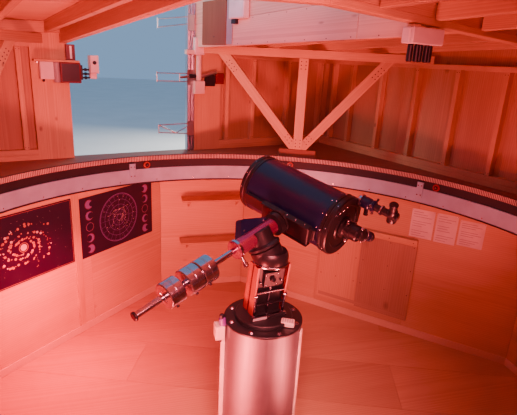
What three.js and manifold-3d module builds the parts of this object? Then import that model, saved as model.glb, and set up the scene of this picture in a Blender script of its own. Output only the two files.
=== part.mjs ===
// Observatory: a timber room with cut corners, a round track ring and a square rotating timber
// top with a roof slit, and inside it a steel pier with an equatorial mount and a telescope.
// Units are millimetres, +Z is up, the origin is on the ground under the middle of the pier.
import * as THREE from 'three';
import { mergeVertices } from 'three/addons/utils/BufferGeometryUtils.js';
import Module from 'manifold-3d';

const wasm = await Module();
wasm.setup();

// Room: a square turned by 45 degrees whose corners are cut by short walls
const FLOOR_TOP = 200;
const LONG_WALL_DISTANCE = 2266;
const SHORT_WALL_DISTANCE = 2700;
const WALL_THICK = 120;
const WALL_TOP = 1700;
const DOOR_WALL = 3;
const DOOR_HALF = 400;
const DOOR_TOP = 1590;
const GAP = 0.3;

// Track ring, fixed
const RING_R = 2200;
const BAND_BOTTOM = 1718;
const BAND_TOP = 1855;
const FLANGE_THICK = 12;
const ROLLER_COUNT = 9;
const ROLLER_FIRST = 287.6;
const ROLLER_R = 35;

// Rotating top. Its own frame looks along -Y through the slit.
const TOP_TURN = 17.7;
const TOP_HALF = 2442;
const STUD_DEPTH = 68;
const BOARD_THICK = 25;
const STUD_STEP = 470;
const LEDGE_BOTTOM = 1944;
const LEDGE_TOP = 1962;
const SOLE_TOP = 2060;
const PLATE_TOP = 3010;
const PLATE_DEPTH = 45;
const SLIT_HALF = 636;
const SLIT_END = 300;
const RISE = 0.045;
const JOIST_BOTTOM = 3235;
const JOIST_DEPTH = 95;
const BEAM_DROP = 30;
const BEAM_WIDTH = 65;
const DECK_THICK = 24;
const TRIMMER_BOTTOM_LEFT = 3158;
const TRIMMER_RISE_LEFT = 0.06;
const TRIMMER_BOTTOM_RIGHT = 3113.5;
const TRIMMER_RISE_RIGHT = 0.0263;
const TRIMMER_TOP = 3630;
const TRIMMER_THICK = 60;
const POST_WIDTH = 315;
const LID_REACH = 730;
const LID_LENGTH = 2800;
const TRUSS_R = 2277;
const TRUSS_TURN = 3.3;
const TIE_TOP = 3080;
const TRUSS_WIDTH = 98;

// Pier and telescope
const PIER_R = 256;
const PIER_TOP = 1335;
const MOUNT_TURN = 10.9;
const PILLAR_TOP = 1772;
const PILLAR_LEAN = 0.1;
const PILLAR_SLOPE = 0.325;
const RIM_R = 110;
const HOUSING_END = -90;
const AXES_CROSS = [80, 62, 1942];
const POLE_AZIMUTH = 329.4;
const POLE_ALTITUDE = 62.1;
const HOUR_TURN = 149.5;
const DEC_TURN = 306.8;
const TUBE_OFFSET = 440;
const TUBE_R = 196;
const TUBE_WALL = 7;
const SHAFT_LENGTH = 911;

const root = new THREE.Group();
root.name = 'observatory';

const rad = (degrees) => degrees * Math.PI / 180;

// Colour, roughness and metalness of each finish.
const FINISHES = {
  pine: [0xd9a877, 0.62, 0],
  plywood: [0xdcb487, 0.58, 0],
  floor: [0xc79a6b, 0.5, 0],
  roof: [0x4b4f52, 0.9, 0],
  steel: [0xb8bcc0, 0.34, 1],
  dark: [0x24262a, 0.42, 0.6],
  tube: [0x1e2740, 0.32, 0.4],
  band: [0xc9c9c6, 0.4, 0.3],
  belt: [0xb7a98a, 0.5, 0.5],
  aluminium: [0xc3cad4, 0.3, 1],
  white: [0xe8e8e4, 0.5, 0],
  red: [0x8c2f2b, 0.38, 0.4],
  print: [0x16182c, 0.55, 0],
};

function add(group, name, geometry, finish) {
  const [color, roughness, metalness] = FINISHES[finish];
  const material = new THREE.MeshStandardMaterial({ color, roughness, metalness });
  material.name = finish;
  const mesh = new THREE.Mesh(geometry, material);
  mesh.name = name;
  group.add(mesh);
  return mesh;
}

function toSolid(geometry) {
  const bare = geometry.clone();
  bare.deleteAttribute('normal');
  bare.deleteAttribute('uv');
  const merged = mergeVertices(bare, 1e-3);
  return new wasm.Manifold(new wasm.Mesh({
    numProp: 3,
    vertProperties: new Float32Array(merged.attributes.position.array),
    triVerts: new Uint32Array(merged.index.array),
  }));
}

function toGeometry(solid) {
  const mesh = solid.getMesh();
  const geometry = new THREE.BufferGeometry();
  geometry.setAttribute('position', new THREE.BufferAttribute(mesh.vertProperties, 3));
  geometry.setIndex(new THREE.BufferAttribute(mesh.triVerts, 1));
  geometry.computeVertexNormals();
  return geometry;
}

function join(...geometries) {
  return toGeometry(geometries.map(toSolid).reduce((a, b) => a.add(b)));
}

function cut(geometry, ...tools) {
  return toGeometry(tools.map(toSolid).reduce((a, b) => a.subtract(b), toSolid(geometry)));
}

function mirror(geometry) {
  return toGeometry(toSolid(geometry).mirror([1, 0, 0]));
}

// A box between two corners, whose limits may come in either order along X.
function box(xa, xb, y0, y1, z0, z1) {
  const x0 = Math.min(xa, xb);
  const x1 = Math.max(xa, xb);
  const geometry = new THREE.BoxGeometry(x1 - x0, y1 - y0, z1 - z0);
  geometry.translate((x0 + x1) / 2, (y0 + y1) / 2, (z0 + z1) / 2);
  return geometry;
}

// A plan outline raised from z0 to z1, with round holes cut in it.
function prism(points, z0, z1, holes = []) {
  const shape = new THREE.Shape(points.map(([x, y]) => new THREE.Vector2(x, y)));
  for (const [x, y, r] of holes) {
    const path = new THREE.Path();
    path.absarc(x, y, r, 0, 2 * Math.PI, true);
    shape.holes.push(path);
  }
  const options = { depth: z1 - z0, bevelEnabled: false, curveSegments: 48 };
  const geometry = new THREE.ExtrudeGeometry(shape, options);
  geometry.translate(0, 0, z0);
  return geometry;
}

function lathe(profile, segments) {
  const points = profile.map(([r, z]) => new THREE.Vector2(r, z));
  const geometry = new THREE.LatheGeometry(points, segments);
  geometry.rotateX(Math.PI / 2);
  return geometry;
}

// Moves a shape drawn along +Z so that it runs from one point towards another.
function place(geometry, from, to, side) {
  const a = new THREE.Vector3(...from);
  const z = new THREE.Vector3(...to).sub(a).normalize();
  const hint = new THREE.Vector3(...side);
  const x = hint.clone().addScaledVector(z, -hint.dot(z)).normalize();
  const y = new THREE.Vector3().crossVectors(z, x);
  geometry.applyMatrix4(new THREE.Matrix4().makeBasis(x, y, z).setPosition(a));
  return geometry;
}

function distance(from, to) {
  return new THREE.Vector3(...to).distanceTo(new THREE.Vector3(...from));
}

// A straight timber of square section; side gives the direction of its width.
function bar(from, to, width, depth, side) {
  const half = width / 2;
  return place(box(-half, half, -depth / 2, depth / 2, 0, distance(from, to)), from, to, side);
}

// An outline of Y and Z values, raised along X from x0 to x1.
function profileAlongX(points, x0, x1) {
  const solid = prism(points, Math.min(x0, x1), Math.max(x0, x1));
  solid.applyMatrix4(new THREE.Matrix4().set(0, 0, 1, 0, 1, 0, 0, 0, 0, 1, 0, 0, 0, 0, 0, 1));
  return solid;
}

function rod(from, to, radius, segments = 24) {
  const length = distance(from, to);
  const side = Math.abs(to[2] - from[2]) > 0.9 * length ? [1, 0, 0] : [0, 0, 1];
  const profile = [[0, 0], [radius, 0], [radius, length], [0, length]];
  return place(lathe(profile, segments), from, to, side);
}

// Tilts a shape: z rises by alongX for each unit of x and by alongY for each unit of y.
function shear(geometry, alongX, alongY) {
  const matrix = new THREE.Matrix4();
  matrix.set(1, 0, 0, 0, 0, 1, 0, 0, alongX, alongY, 1, 0, 0, 0, 0, 1);
  geometry.applyMatrix4(matrix);
  return geometry;
}

// The fixed building

const building = new THREE.Group();
building.name = 'building_group';
root.add(building);

function wallDistance(index, spare) {
  return (index % 2 === 0 ? SHORT_WALL_DISTANCE : LONG_WALL_DISTANCE) + spare;
}

// Half the length of a wall, where it meets its two neighbours at 45 degrees.
function wallHalf(index, spare) {
  return Math.SQRT2 * wallDistance(index + 1, spare) - wallDistance(index, spare);
}

function roomOutline(spare) {
  return Array.from({ length: 8 }, (_, i) => {
    const a = rad(45 * i);
    const out = wallDistance(i, spare);
    const half = wallHalf(i, spare);
    return [out * Math.cos(a) - half * Math.sin(a), out * Math.sin(a) + half * Math.cos(a)];
  });
}

add(building, 'floor_deck', prism(roomOutline(WALL_THICK), 0, FLOOR_TOP), 'floor');

// Wall panels, drawn facing +X and turned into place; they meet on the room's corners.
for (let i = 0; i < 8; i += 1) {
  const x0 = wallDistance(i, 0);
  const x1 = wallDistance(i, WALL_THICK);
  const inner = wallHalf(i, 0) - GAP;
  const outer = wallHalf(i, WALL_THICK) - GAP;
  const plan = [[x0, -inner], [x1, -outer], [x1, outer], [x0, inner]];
  let wall = prism(plan, FLOOR_TOP + GAP, WALL_TOP);
  if (i === DOOR_WALL) {
    wall = cut(wall, box(x0 - 50, x1 + 50, -DOOR_HALF, DOOR_HALF, FLOOR_TOP - 20, DOOR_TOP));
  }
  add(building, `wall_panel_${i + 1}`, wall, 'plywood').rotation.z = rad(45 * i);
}

const doorGroup = new THREE.Group();
doorGroup.name = 'door_group';
doorGroup.rotation.z = rad(45 * DOOR_WALL);
building.add(doorGroup);
const doorPlane = wallDistance(DOOR_WALL, 0);
const frameOuter = DOOR_HALF - GAP;
const frameInner = frameOuter - 40;
add(doorGroup, 'door_frame', cut(
  box(doorPlane - 15, doorPlane + WALL_THICK + 15, -frameOuter, frameOuter, FLOOR_TOP + GAP,
    DOOR_TOP - GAP),
  box(doorPlane - 40, doorPlane + WALL_THICK + 40, -frameInner, frameInner, FLOOR_TOP - 30,
    DOOR_TOP - 45),
), 'pine');
add(doorGroup, 'door_leaf', box(doorPlane + 60, doorPlane + 100, -frameInner + GAP,
  frameInner - 3, FLOOR_TOP + 10, DOOR_TOP - 48), 'plywood');

add(building, 'curb_deck', prism(roomOutline(WALL_THICK), WALL_TOP + GAP,
  BAND_TOP - FLANGE_THICK - GAP, [[0, 0, RING_R + 12 + GAP]]), 'pine');

// The track ring: a light band facing the room and a flange that carries the rollers.
function trackRing() {
  const pieces = [lathe([
    [RING_R, BAND_BOTTOM], [RING_R + 12, BAND_BOTTOM], [RING_R + 12, BAND_TOP - FLANGE_THICK],
    [RING_R + 130, BAND_TOP - FLANGE_THICK], [RING_R + 130, BAND_TOP], [RING_R, BAND_TOP],
    [RING_R, BAND_BOTTOM],
  ], 96)];
  const axle = BAND_TOP + ROLLER_R + 3;
  for (let k = 0; k < ROLLER_COUNT; k += 1) {
    const a = rad(ROLLER_FIRST - 360 / ROLLER_COUNT * k);
    const out = (r) => [r * Math.cos(a), r * Math.sin(a), axle];
    const cheek = box(RING_R + 70, RING_R + 82, -30, 30, BAND_TOP - 2, BAND_TOP + 60);
    const block = box(RING_R - 12, RING_R + 2, -30, 30, BAND_BOTTOM + 45, BAND_TOP + 62);
    cheek.rotateZ(a);
    block.rotateZ(a + rad(4));
    pieces.push(rod(out(RING_R + 35), out(RING_R + 75), ROLLER_R, 20), cheek, block);
  }
  return join(...pieces);
}
add(building, 'track_ring', trackRing(), 'band');

// Two shelves on the short wall that faces +Y, held by brackets under the board.
function shelf(x0, x1, z) {
  const y = -SHORT_WALL_DISTANCE + GAP;
  const parts = [box(x0, x1, y, y + 200, z - 18, z)];
  for (const x of [x0 + 90, x1 - 90]) {
    parts.push(box(x - 11, x + 11, y, y + 150, z - 45, z - 17));
    parts.push(box(x - 11, x + 11, y, y + 20, z - 130, z - 44));
  }
  return join(...parts);
}
add(building, 'shelf_upper', shelf(-500, 262, 1375), 'pine');
add(building, 'shelf_lower', shelf(-500, 283, 850), 'pine');

// Flat fittings on the long walls; the numbers run along the wall from its middle.
const wallFace = LONG_WALL_DISTANCE - GAP;
add(building, 'hatch_panel', join(
  box(wallFace - 18, wallFace, -560, 480, 350, 1225),
  box(wallFace - 40, wallFace, -560, 20, 1220, 1285),
), 'plywood').rotation.z = rad(225);
add(building, 'wall_chart_left', box(wallFace - 6, wallFace, -316, 600, 1000, 1640),
  'print').rotation.z = rad(315);
add(building, 'wall_chart_right', box(wallFace - 6, wallFace, -1401, -405, 990, 1610),
  'print').rotation.z = rad(315);

// Pier
const plateBottom = PIER_TOP - 15;
add(building, 'pier_column', lathe([[PIER_R - 10, FLOOR_TOP + GAP], [PIER_R, FLOOR_TOP + GAP],
  [PIER_R, plateBottom - GAP], [PIER_R - 10, plateBottom - GAP], [PIER_R - 10, FLOOR_TOP + GAP],
], 64), 'steel');
add(building, 'pier_top_plate', lathe([[0, plateBottom], [PIER_R + 6, plateBottom],
  [PIER_R + 6, PIER_TOP], [0, PIER_TOP]], 64), 'dark');
add(building, 'pier_conduit', join(
  box(PIER_R + 1, PIER_R + 28, -14, 14, FLOOR_TOP + GAP, PIER_TOP - 60),
  box(PIER_R + 7, PIER_R + 70, -40, 40, PIER_TOP - 130, PIER_TOP - 30),
), 'steel');

// The equatorial mount and the telescope

const azimuth = rad(POLE_AZIMUTH);
const altitude = rad(POLE_ALTITUDE);
const pole = new THREE.Vector3(Math.cos(altitude) * Math.cos(azimuth),
  Math.cos(altitude) * Math.sin(azimuth), Math.sin(altitude));
const east = new THREE.Vector3(-Math.sin(azimuth), Math.cos(azimuth), 0);
const up = new THREE.Vector3().crossVectors(pole, east);
const hour = rad(HOUR_TURN);
const decAxis = east.clone().multiplyScalar(Math.cos(hour)).addScaledVector(up, Math.sin(hour));
const across = new THREE.Vector3().crossVectors(decAxis, pole);
const turn = rad(DEC_TURN);
const sight = pole.clone().multiplyScalar(Math.cos(turn)).addScaledVector(across, Math.sin(turn));
const cross = new THREE.Vector3(...AXES_CROSS);

// A group at the crossing of the axes, with its local Z along one axis and local X near another.
function axisGroup(name, z, x) {
  const group = new THREE.Group();
  group.name = name;
  const side = x.clone().addScaledVector(z, -x.dot(z)).normalize();
  const y = new THREE.Vector3().crossVectors(z, side);
  group.quaternion.setFromRotationMatrix(new THREE.Matrix4().makeBasis(side, y, z));
  group.position.copy(cross);
  root.add(group);
  return group;
}

function alongPole(length) {
  return cross.clone().addScaledVector(pole, length).toArray();
}

// The pillar leans from the middle of the pier to the foot of the polar axis. It is drawn square
// to the mount, with its front towards +Y: a body between two side plates, two shelves and a rod
// before it, and a silver post on each front edge.
function pillar(foot) {
  const front = (y, z) => y + PILLAR_SLOPE * (z - foot);
  const post = (x, y, z) => rod([x, y, foot - 2], [x, front(y, z), z], 9, 16);
  const shelfAt = (z) => profileAlongX([[front(-5, z), z], [front(28, z), z],
    [front(28, z), z + 12], [front(-5, z), z + 12]], -114, 89);
  const plate = [[-115, foot - 2], [30, foot - 2], [162, PILLAR_TOP], [42, PILLAR_TOP]];
  const solid = join(
    profileAlongX(plate, 88, 100),
    profileAlongX(plate, -125, -113),
    profileAlongX([[-110, foot - 2], [0, foot - 2], [132, PILLAR_TOP], [47, PILLAR_TOP]], -114, 89),
    shelfAt(1450),
    shelfAt(1555),
    rod([-12, 16, foot - 2], [-12, front(16, 1610), 1610], 7, 12),
    post(90, 36, 1550),
    post(-118, 36, 1530),
  );
  const matrix = new THREE.Matrix4();
  matrix.set(1, 0, PILLAR_LEAN, -PILLAR_LEAN * foot, 0, 1, 0, 0, 0, 0, 1, 0, 0, 0, 0, 1);
  return solid.applyMatrix4(matrix);
}

// Base: a disc on the pier with a bar before the pillar, and on the pillar a squat round body
// that ends the polar housing, just below the turning head.
function mountBase() {
  const foot = PIER_TOP + 30;
  const square = join(pillar(foot), box(-125, 125, 62, 90, foot - 2, foot + 22));
  square.rotateZ(rad(MOUNT_TURN));
  const bowl = lathe([[0, PILLAR_TOP - 4], [RIM_R - 8, PILLAR_TOP - 4], [RIM_R, PILLAR_TOP],
    [RIM_R, PILLAR_TOP + 8], [RIM_R - 6, PILLAR_TOP + 12], [RIM_R - 2, PILLAR_TOP + 28],
    [RIM_R - 2, PILLAR_TOP + 58], [RIM_R - 12, PILLAR_TOP + 84], [0, PILLAR_TOP + 84]], 48);
  const [x, y] = alongPole(-180);
  bowl.translate(x, y, 0);
  return cut(join(
    lathe([[0, PIER_TOP + GAP], [190, PIER_TOP + GAP], [190, foot], [0, foot]], 48),
    square,
    bowl,
    rod(alongPole(-180), alongPole(HOUSING_END + 5), 98, 48),
  ), rod(alongPole(HOUSING_END), alongPole(300), 330, 48));
}
add(building, 'mount_base', mountBase(), 'dark');

const head = axisGroup('head_group', pole, decAxis);
const driveBox = prism([[-120, 0], [140, 0], [140, 26], [120, 66], [-45, 130], [-120, 26]],
  -90, -25);
driveBox.rotateX(Math.PI / 2);
add(head, 'ra_head', join(
  lathe([[0, HOUSING_END + 6], [104, HOUSING_END + 6], [104, -64], [80, -58], [80, 30], [0, 30]],
    48),
  driveBox,
  rod([-215, 0, 0], [170, 0, 0], 50, 40),
  rod([-215, 0, 0], [-180, 0, 0], 58, 40),
  rod([130, 0, 0], [170, 0, 0], 75, 40),
), 'red');
add(head, 'weight_shaft', rod([-215 - GAP, 0, 0], [-SHAFT_LENGTH, 0, 0], 18, 24), 'steel');

function weight(x0, x1, radius) {
  const bore = rod([x0 + 20, 0, 0], [x1 - 20, 0, 0], 18.5, 24);
  return cut(rod([x0, 0, 0], [x1, 0, 0], radius, 40), bore);
}
add(head, 'weight_1', weight(-400, -495, 78), 'steel');
add(head, 'weight_2', weight(-498, -593, 78), 'steel');
add(head, 'weight_3', weight(-628, -723, 74), 'steel');

// Telescope: local Z is the sight line, local X the declination axis away from the mount.
const scope = axisGroup('scope_group', sight, decAxis);
add(scope, 'dec_saddle', join(
  rod([176, 0, 0], [202, 0, 0], 80, 40),
  box(178, 224, -70, 70, -230, 150),
), 'dark');
const bore = TUBE_R - 2 - TUBE_WALL;
const tube = lathe([[0, -322], [TUBE_R + 6, -322], [TUBE_R + 6, -262], [TUBE_R - 2, -258],
  [TUBE_R - 2, 340], [TUBE_R + 2, 344], [TUBE_R + 2, 404], [bore, 404], [bore, -308],
  [0, -308]], 72);
tube.translate(TUBE_OFFSET, 0, 0);
const rail = box(224 + GAP, TUBE_OFFSET - TUBE_R + 6, -40, 40, -250, 330);
add(scope, 'telescope_tube', join(tube, rail), 'tube');
const corrector = lathe([[0, 352], [bore - GAP, 352], [bore - GAP, 362], [62, 362], [62, 384],
  [0, 384]], 72);
corrector.translate(TUBE_OFFSET, 0, 0);
add(scope, 'corrector_plate', corrector, 'dark');
const rearFace = -322 - GAP;
add(scope, 'eyepiece_end', join(
  rod([TUBE_OFFSET, 0, rearFace], [TUBE_OFFSET, 0, -440], 52, 32),
  rod([TUBE_OFFSET, 0, -425], [TUBE_OFFSET + 96, 60, -440], 38, 24),
  rod([TUBE_OFFSET + 80, 50, -437], [TUBE_OFFSET + 150, 100, -450], 26, 24),
), 'dark');
const finderX = TUBE_OFFSET + 150;
const finderY = -135;
add(scope, 'finder_scope', join(
  rod([finderX, finderY, rearFace], [finderX, finderY, -352], 44, 24),
  rod([finderX, finderY, -350], [finderX, finderY, -470], 30, 24),
  rod([finderX, finderY, -468], [finderX, finderY, -590], 20, 24),
  box(finderX - 45, finderX + 45, finderY - 12, finderY + 12, -430, -405),
), 'dark');

// The rotating top

const top = new THREE.Group();
top.name = 'top_group';
top.rotation.z = rad(TOP_TURN);
root.add(top);
const OUTER = TOP_HALF + STUD_DEPTH + BOARD_THICK;
const inside = TOP_HALF - GAP;

const rotorBottom = BAND_TOP + 79;
add(top, 'rotating_ring', lathe([
  [RING_R - 5, rotorBottom], [RING_R + 130, rotorBottom], [RING_R + 130, LEDGE_BOTTOM],
  [RING_R + 7, LEDGE_BOTTOM], [RING_R + 7, 1988], [RING_R - 5, 1988], [RING_R - 5, rotorBottom],
], 96), 'belt');

// The ledge that the walls stand on, with a weather skirt under its edge.
const squarePlan = [[-OUTER, -OUTER], [OUTER, -OUTER], [OUTER, OUTER], [-OUTER, OUTER]];
const skirtInside = OUTER - BOARD_THICK;
add(top, 'ledge_deck', join(
  prism(squarePlan, LEDGE_BOTTOM + GAP, LEDGE_TOP, [[0, 0, RING_R + 7 + GAP]]),
  cut(prism(squarePlan, BAND_TOP + 17, LEDGE_BOTTOM + 2),
    box(-skirtInside, skirtInside, -skirtInside, skirtInside, BAND_TOP, LEDGE_TOP)),
), 'plywood');

// Everything above the roof's underside, on one side of the ridge.
function roofSolid(side) {
  const span = OUTER + 80;
  const plan = [[0, -span], [side * span, -span], [side * span, span], [0, span]];
  if (side < 0) plan.reverse();
  const low = JOIST_BOTTOM + JOIST_DEPTH - GAP;
  return shear(prism(plan, low, low + 2000), -side * RISE, RISE);
}

function underRoof(geometry) {
  return cut(geometry, roofSolid(1), roofSolid(-1));
}

// A wall on the +Y side, from x0 to x1, boarded outside, with its studs between sole and plate.
const WALL_FOOT = LEDGE_TOP + GAP;
function framedWall(x0, x1, studs) {
  const face = TOP_HALF + STUD_DEPTH;
  return join(
    box(x0, x1, face, OUTER, WALL_FOOT, 3600),
    box(x0, x1, TOP_HALF, face + 1, WALL_FOOT, SOLE_TOP),
    box(x0, x1, TOP_HALF, face + 1, PLATE_TOP - PLATE_DEPTH, PLATE_TOP),
    ...studs.map((x) => box(x - 22, x + 22, TOP_HALF, face + 1, SOLE_TOP - 1,
      PLATE_TOP - PLATE_DEPTH + 1)),
  );
}

const studPlaces = Array.from({ length: 10 }, (_, i) => 2274 - STUD_STEP * i).concat(-2274);

// The posts in the corners belong to the rear wall and to the two halves of the front wall.
function cornerPost(side, y0, y1) {
  return box(side * TOP_HALF, side * OUTER, y0, y1, WALL_FOOT, 3600);
}

const rearFrame = framedWall(-OUTER, OUTER, studPlaces);
const rearPosts = [-1, 1].map((side) => cornerPost(side, TOP_HALF, TOP_HALF + STUD_DEPTH + 1));
add(top, 'wall_rear', underRoof(join(rearFrame, ...rearPosts)), 'pine');
for (const [name, quarter] of [['wall_left', 3], ['wall_right', 1]]) {
  const wall = framedWall(-inside, inside, studPlaces);
  wall.rotateZ(rad(90 * quarter));
  add(top, name, underRoof(wall), 'pine');
}

// The slit's trimmers stand from below the joists to well above the deck. Their lower edges
// fall towards the front, the left one more steeply.
function trimmer(side, spare, y1) {
  const y0 = -OUTER - spare;
  const [bottom, rise] = side > 0 ? [TRIMMER_BOTTOM_LEFT, TRIMMER_RISE_LEFT]
    : [TRIMMER_BOTTOM_RIGHT, TRIMMER_RISE_RIGHT];
  const low = (y) => bottom + rise * y - spare;
  const high = (y) => TRIMMER_TOP + RISE * y + spare;
  return profileAlongX([[y0, low(y0)], [y1, low(y1)], [y1, high(y1)], [y0, high(y0)]],
    side * (SLIT_HALF - spare), side * (SLIT_HALF + TRIMMER_THICK + spare));
}

// One half of the front wall, with the wide post beside the slit.
function frontWall() {
  const face = -TOP_HALF - STUD_DEPTH;
  const studs = [1042, 1390, 1893, 2400];
  return join(
    box(SLIT_HALF, OUTER, -OUTER, face, WALL_FOOT, 3600),
    box(SLIT_HALF, SLIT_HALF + POST_WIDTH, face - 1, -TOP_HALF, WALL_FOOT, 3600),
    box(SLIT_HALF, OUTER, face - 1, -TOP_HALF, WALL_FOOT, SOLE_TOP),
    box(SLIT_HALF, OUTER, face - 1, -TOP_HALF, PLATE_TOP - PLATE_DEPTH, PLATE_TOP),
    ...studs.map((x) => box(x - 22, x + 22, face - 1, -TOP_HALF, SOLE_TOP - 1,
      PLATE_TOP - PLATE_DEPTH + 1)),
    cornerPost(1, face - 1, -TOP_HALF),
  );
}
const frontHalf = underRoof(frontWall());
add(top, 'wall_front_left', cut(frontHalf, trimmer(1, GAP, SLIT_END)), 'pine');
add(top, 'wall_front_right', cut(mirror(frontHalf), trimmer(-1, GAP, SLIT_END)), 'pine');

// The coaming: both trimmers and the board across the slit's end.
const coamingEnd = SLIT_END + 30;
add(top, 'slit_coaming', join(
  trimmer(1, 0, coamingEnd),
  trimmer(-1, 0, coamingEnd),
  shear(box(-SLIT_HALF - 1, SLIT_HALF + 1, SLIT_END, coamingEnd, TRIMMER_TOP - 390,
    TRIMMER_TOP), 0, RISE),
), 'plywood');

// A roof timber on one side of the ridge, its top against the deck.
function roofTimber(side, x0, x1, y0, y1, drop = 0) {
  const solid = box(side * x0, side * x1, y0, y1, JOIST_BOTTOM - drop,
    JOIST_BOTTOM + JOIST_DEPTH - GAP);
  return shear(solid, -side * RISE, RISE);
}

const beamFront = coamingEnd + GAP;
const beamRear = beamFront + BEAM_WIDTH;
function mainBeam(spare) {
  return join(...[1, -1].map((side) => roofTimber(side, -2, inside, beamFront - spare,
    beamRear + spare, BEAM_DROP + spare)));
}
add(top, 'main_beam', mainBeam(0), 'pine');

const JOIST_PLACES = [800, 1250, 1700, 2150];
function frontJoists() {
  const slitSide = SLIT_HALF + TRIMMER_THICK + GAP;
  return join(
    roofTimber(1, slitSide, inside, -inside, -inside + 60),
    ...JOIST_PLACES.map((x) => roofTimber(1, x - 24, x + 24, -inside, beamFront - GAP)),
  );
}
const joistsLeft = frontJoists();
add(top, 'joists_left', joistsLeft, 'pine');
add(top, 'joists_right', mirror(joistsLeft), 'pine');
add(top, 'joists_rear', join(...[1, -1].flatMap((side) => [
  roofTimber(side, -2, inside, inside - 60, inside),
  roofTimber(side, -2, 24, beamRear + GAP, inside),
  ...[350, ...JOIST_PLACES].map((x) => roofTimber(side, x - 24, x + 24, beamRear + GAP, inside)),
])), 'pine');

function deck(side) {
  const span = OUTER + 65;
  const slitSide = SLIT_HALF + TRIMMER_THICK + GAP;
  const rear = coamingEnd + GAP;
  const plan = [[slitSide, -span], [span, -span], [span, span], [-1, span], [-1, rear],
    [slitSide, rear]].map(([x, y]) => [side * x, y]);
  if (side < 0) plan.reverse();
  const z = JOIST_BOTTOM + JOIST_DEPTH;
  return shear(prism(plan, z, z + DECK_THICK), -side * RISE, RISE);
}
add(top, 'roof_deck', join(deck(1), deck(-1)), 'roof');

// Trusses in the two front corners: a post and two braces on a short sole carry a tie across
// the corner.
function cornerTruss(angle) {
  const x0 = TRUSS_R - 30;
  const x1 = TRUSS_R + 30;
  const parts = [
    box(x0, x1, -2000, 2000, TIE_TOP - 80, TIE_TOP),
    box(x0, x1, -TRUSS_WIDTH / 2, TRUSS_WIDTH / 2, SOLE_TOP - 1, TIE_TOP - 40),
    box(x0, x1, -200, 200, WALL_FOOT, SOLE_TOP),
  ];
  for (const side of [-1, 1]) {
    parts.push(bar([TRUSS_R, side * 45, SOLE_TOP + 20], [TRUSS_R, side * 865, TIE_TOP - 45],
      60, TRUSS_WIDTH, [1, 0, 0]));
  }
  const truss = join(...parts);
  truss.rotateZ(rad(angle));
  const room = box(-inside, inside, -inside, inside, WALL_FOOT, TIE_TOP + 50);
  const inRoom = toGeometry(toSolid(truss).intersect(toSolid(room)));
  const slit = box(-SLIT_HALF, SLIT_HALF, -OUTER, 0, WALL_FOOT, TIE_TOP + 50);
  return cut(inRoom, slit, trimmer(-1, GAP, SLIT_END));
}
for (let k = 0; k < 2; k += 1) {
  add(top, `corner_truss_${k + 1}`, cornerTruss(-135 + TRUSS_TURN + 90 * k), 'pine');
}

// Two lids hinged on the trimmers, laid open with their rims on the roof beside the slit.
function slitLid() {
  const hinge = SLIT_HALF + TRIMMER_THICK + GAP;
  const rim = hinge + LID_REACH;
  const crest = TRIMMER_TOP;
  const deckAt = (x) => JOIST_BOTTOM + JOIST_DEPTH + DECK_THICK + GAP - RISE * x;
  const outline = [[hinge, crest - 60], [hinge + 40, crest - 38], [rim - 50, deckAt(rim) + 25],
    [rim - 50, deckAt(rim - 50)], [rim, deckAt(rim)], [rim, deckAt(rim) + 60],
    [hinge + 40, crest], [hinge, crest]];
  const lid = prism(outline, 0, LID_LENGTH);
  lid.rotateX(Math.PI / 2);
  lid.translate(0, SLIT_END, 0);
  return shear(lid, 0, RISE);
}
const lidLeft = slitLid();
add(top, 'slit_lid_left', lidLeft, 'roof');
add(top, 'slit_lid_right', mirror(lidLeft), 'roof');

// Two wall shutters folded flat against the front wall.
const shutterBack = -OUTER - 12;
const shutter = join(
  box(SLIT_HALF + 15, SLIT_HALF + 640, shutterBack - 28, shutterBack, 1985, 3020),
  ...[2130, 2870].map((z) => box(SLIT_HALF + 15, SLIT_HALF + 640, shutterBack - 4, -OUTER - GAP,
    z - 30, z + 30)),
);
add(top, 'wall_shutter_left', shutter, 'plywood');
add(top, 'wall_shutter_right', mirror(shutter), 'plywood');

// White box under the main beam, on two spacers.
add(top, 'equipment_box', cut(join(
  box(-860, -592, beamFront, beamFront + 85, 3085, 3172),
  ...[-800, -650].map((x) => box(x - 30, x + 30, beamFront + 8, beamFront + 58, 3171, 3220)),
), mainBeam(GAP)), 'white');

// Aluminium post on the right jamb with three thin stay frames, the middle one with its drive.
const stayY = -TOP_HALF;
const jambFace = -TOP_HALF + GAP;
function stayBar(x0, z0, x1, z1) {
  return bar([x0, stayY, z0], [x1, stayY, z1], 12, 12, [0, 1, 0]);
}
add(top, 'jamb_post', join(
  box(-SLIT_HALF + GAP, -SLIT_HALF + 83, -TOP_HALF - 60, -TOP_HALF, WALL_FOOT, 3480),
  stayBar(-229, 3209, -229, 3305), stayBar(-229, 3289, -571, 3347), stayBar(-229, 3218, -571, 3278),
  stayBar(-213, 2692, -213, 2796), stayBar(-213, 2778, -571, 2782), stayBar(-462, 2705, -462, 2782),
  stayBar(-213, 2706, -571, 2705),
  rod([-466, stayY + 16, 2745], [-722, stayY + 16, 2773], 14, 12),
  rod([-700, stayY + 22, 2762], [-885, stayY + 22, 2812], 21, 16),
  box(-875, -748, jambFace, stayY + 18, 2660, 2775),
  box(-974, -874, jambFace, stayY + 36, 2686, 2801),
  stayBar(-226, 2166, -226, 2262), stayBar(-226, 2250, -571, 2259), stayBar(-226, 2178, -571, 2150),
), 'aluminium');

// Instruments on the left jamb: a shelf board with its cases below and a camera on an arm.
add(top, 'instrument_rack', join(
  box(556, 935, jambFace, jambFace + 110, 2850, 2868),
  box(778, 890, jambFace, jambFace + 100, 2700, 2851),
  box(545, 765, jambFace, jambFace + 90, 2670, 2851),
  box(575, 655, jambFace, jambFace + 40, 2867, 3005),
  box(460, 547, jambFace + 30, jambFace + 50, 2740, 2760),
  box(385, 462, jambFace, jambFace + 100, 2712, 2921),
), 'white');

export default root;
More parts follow.
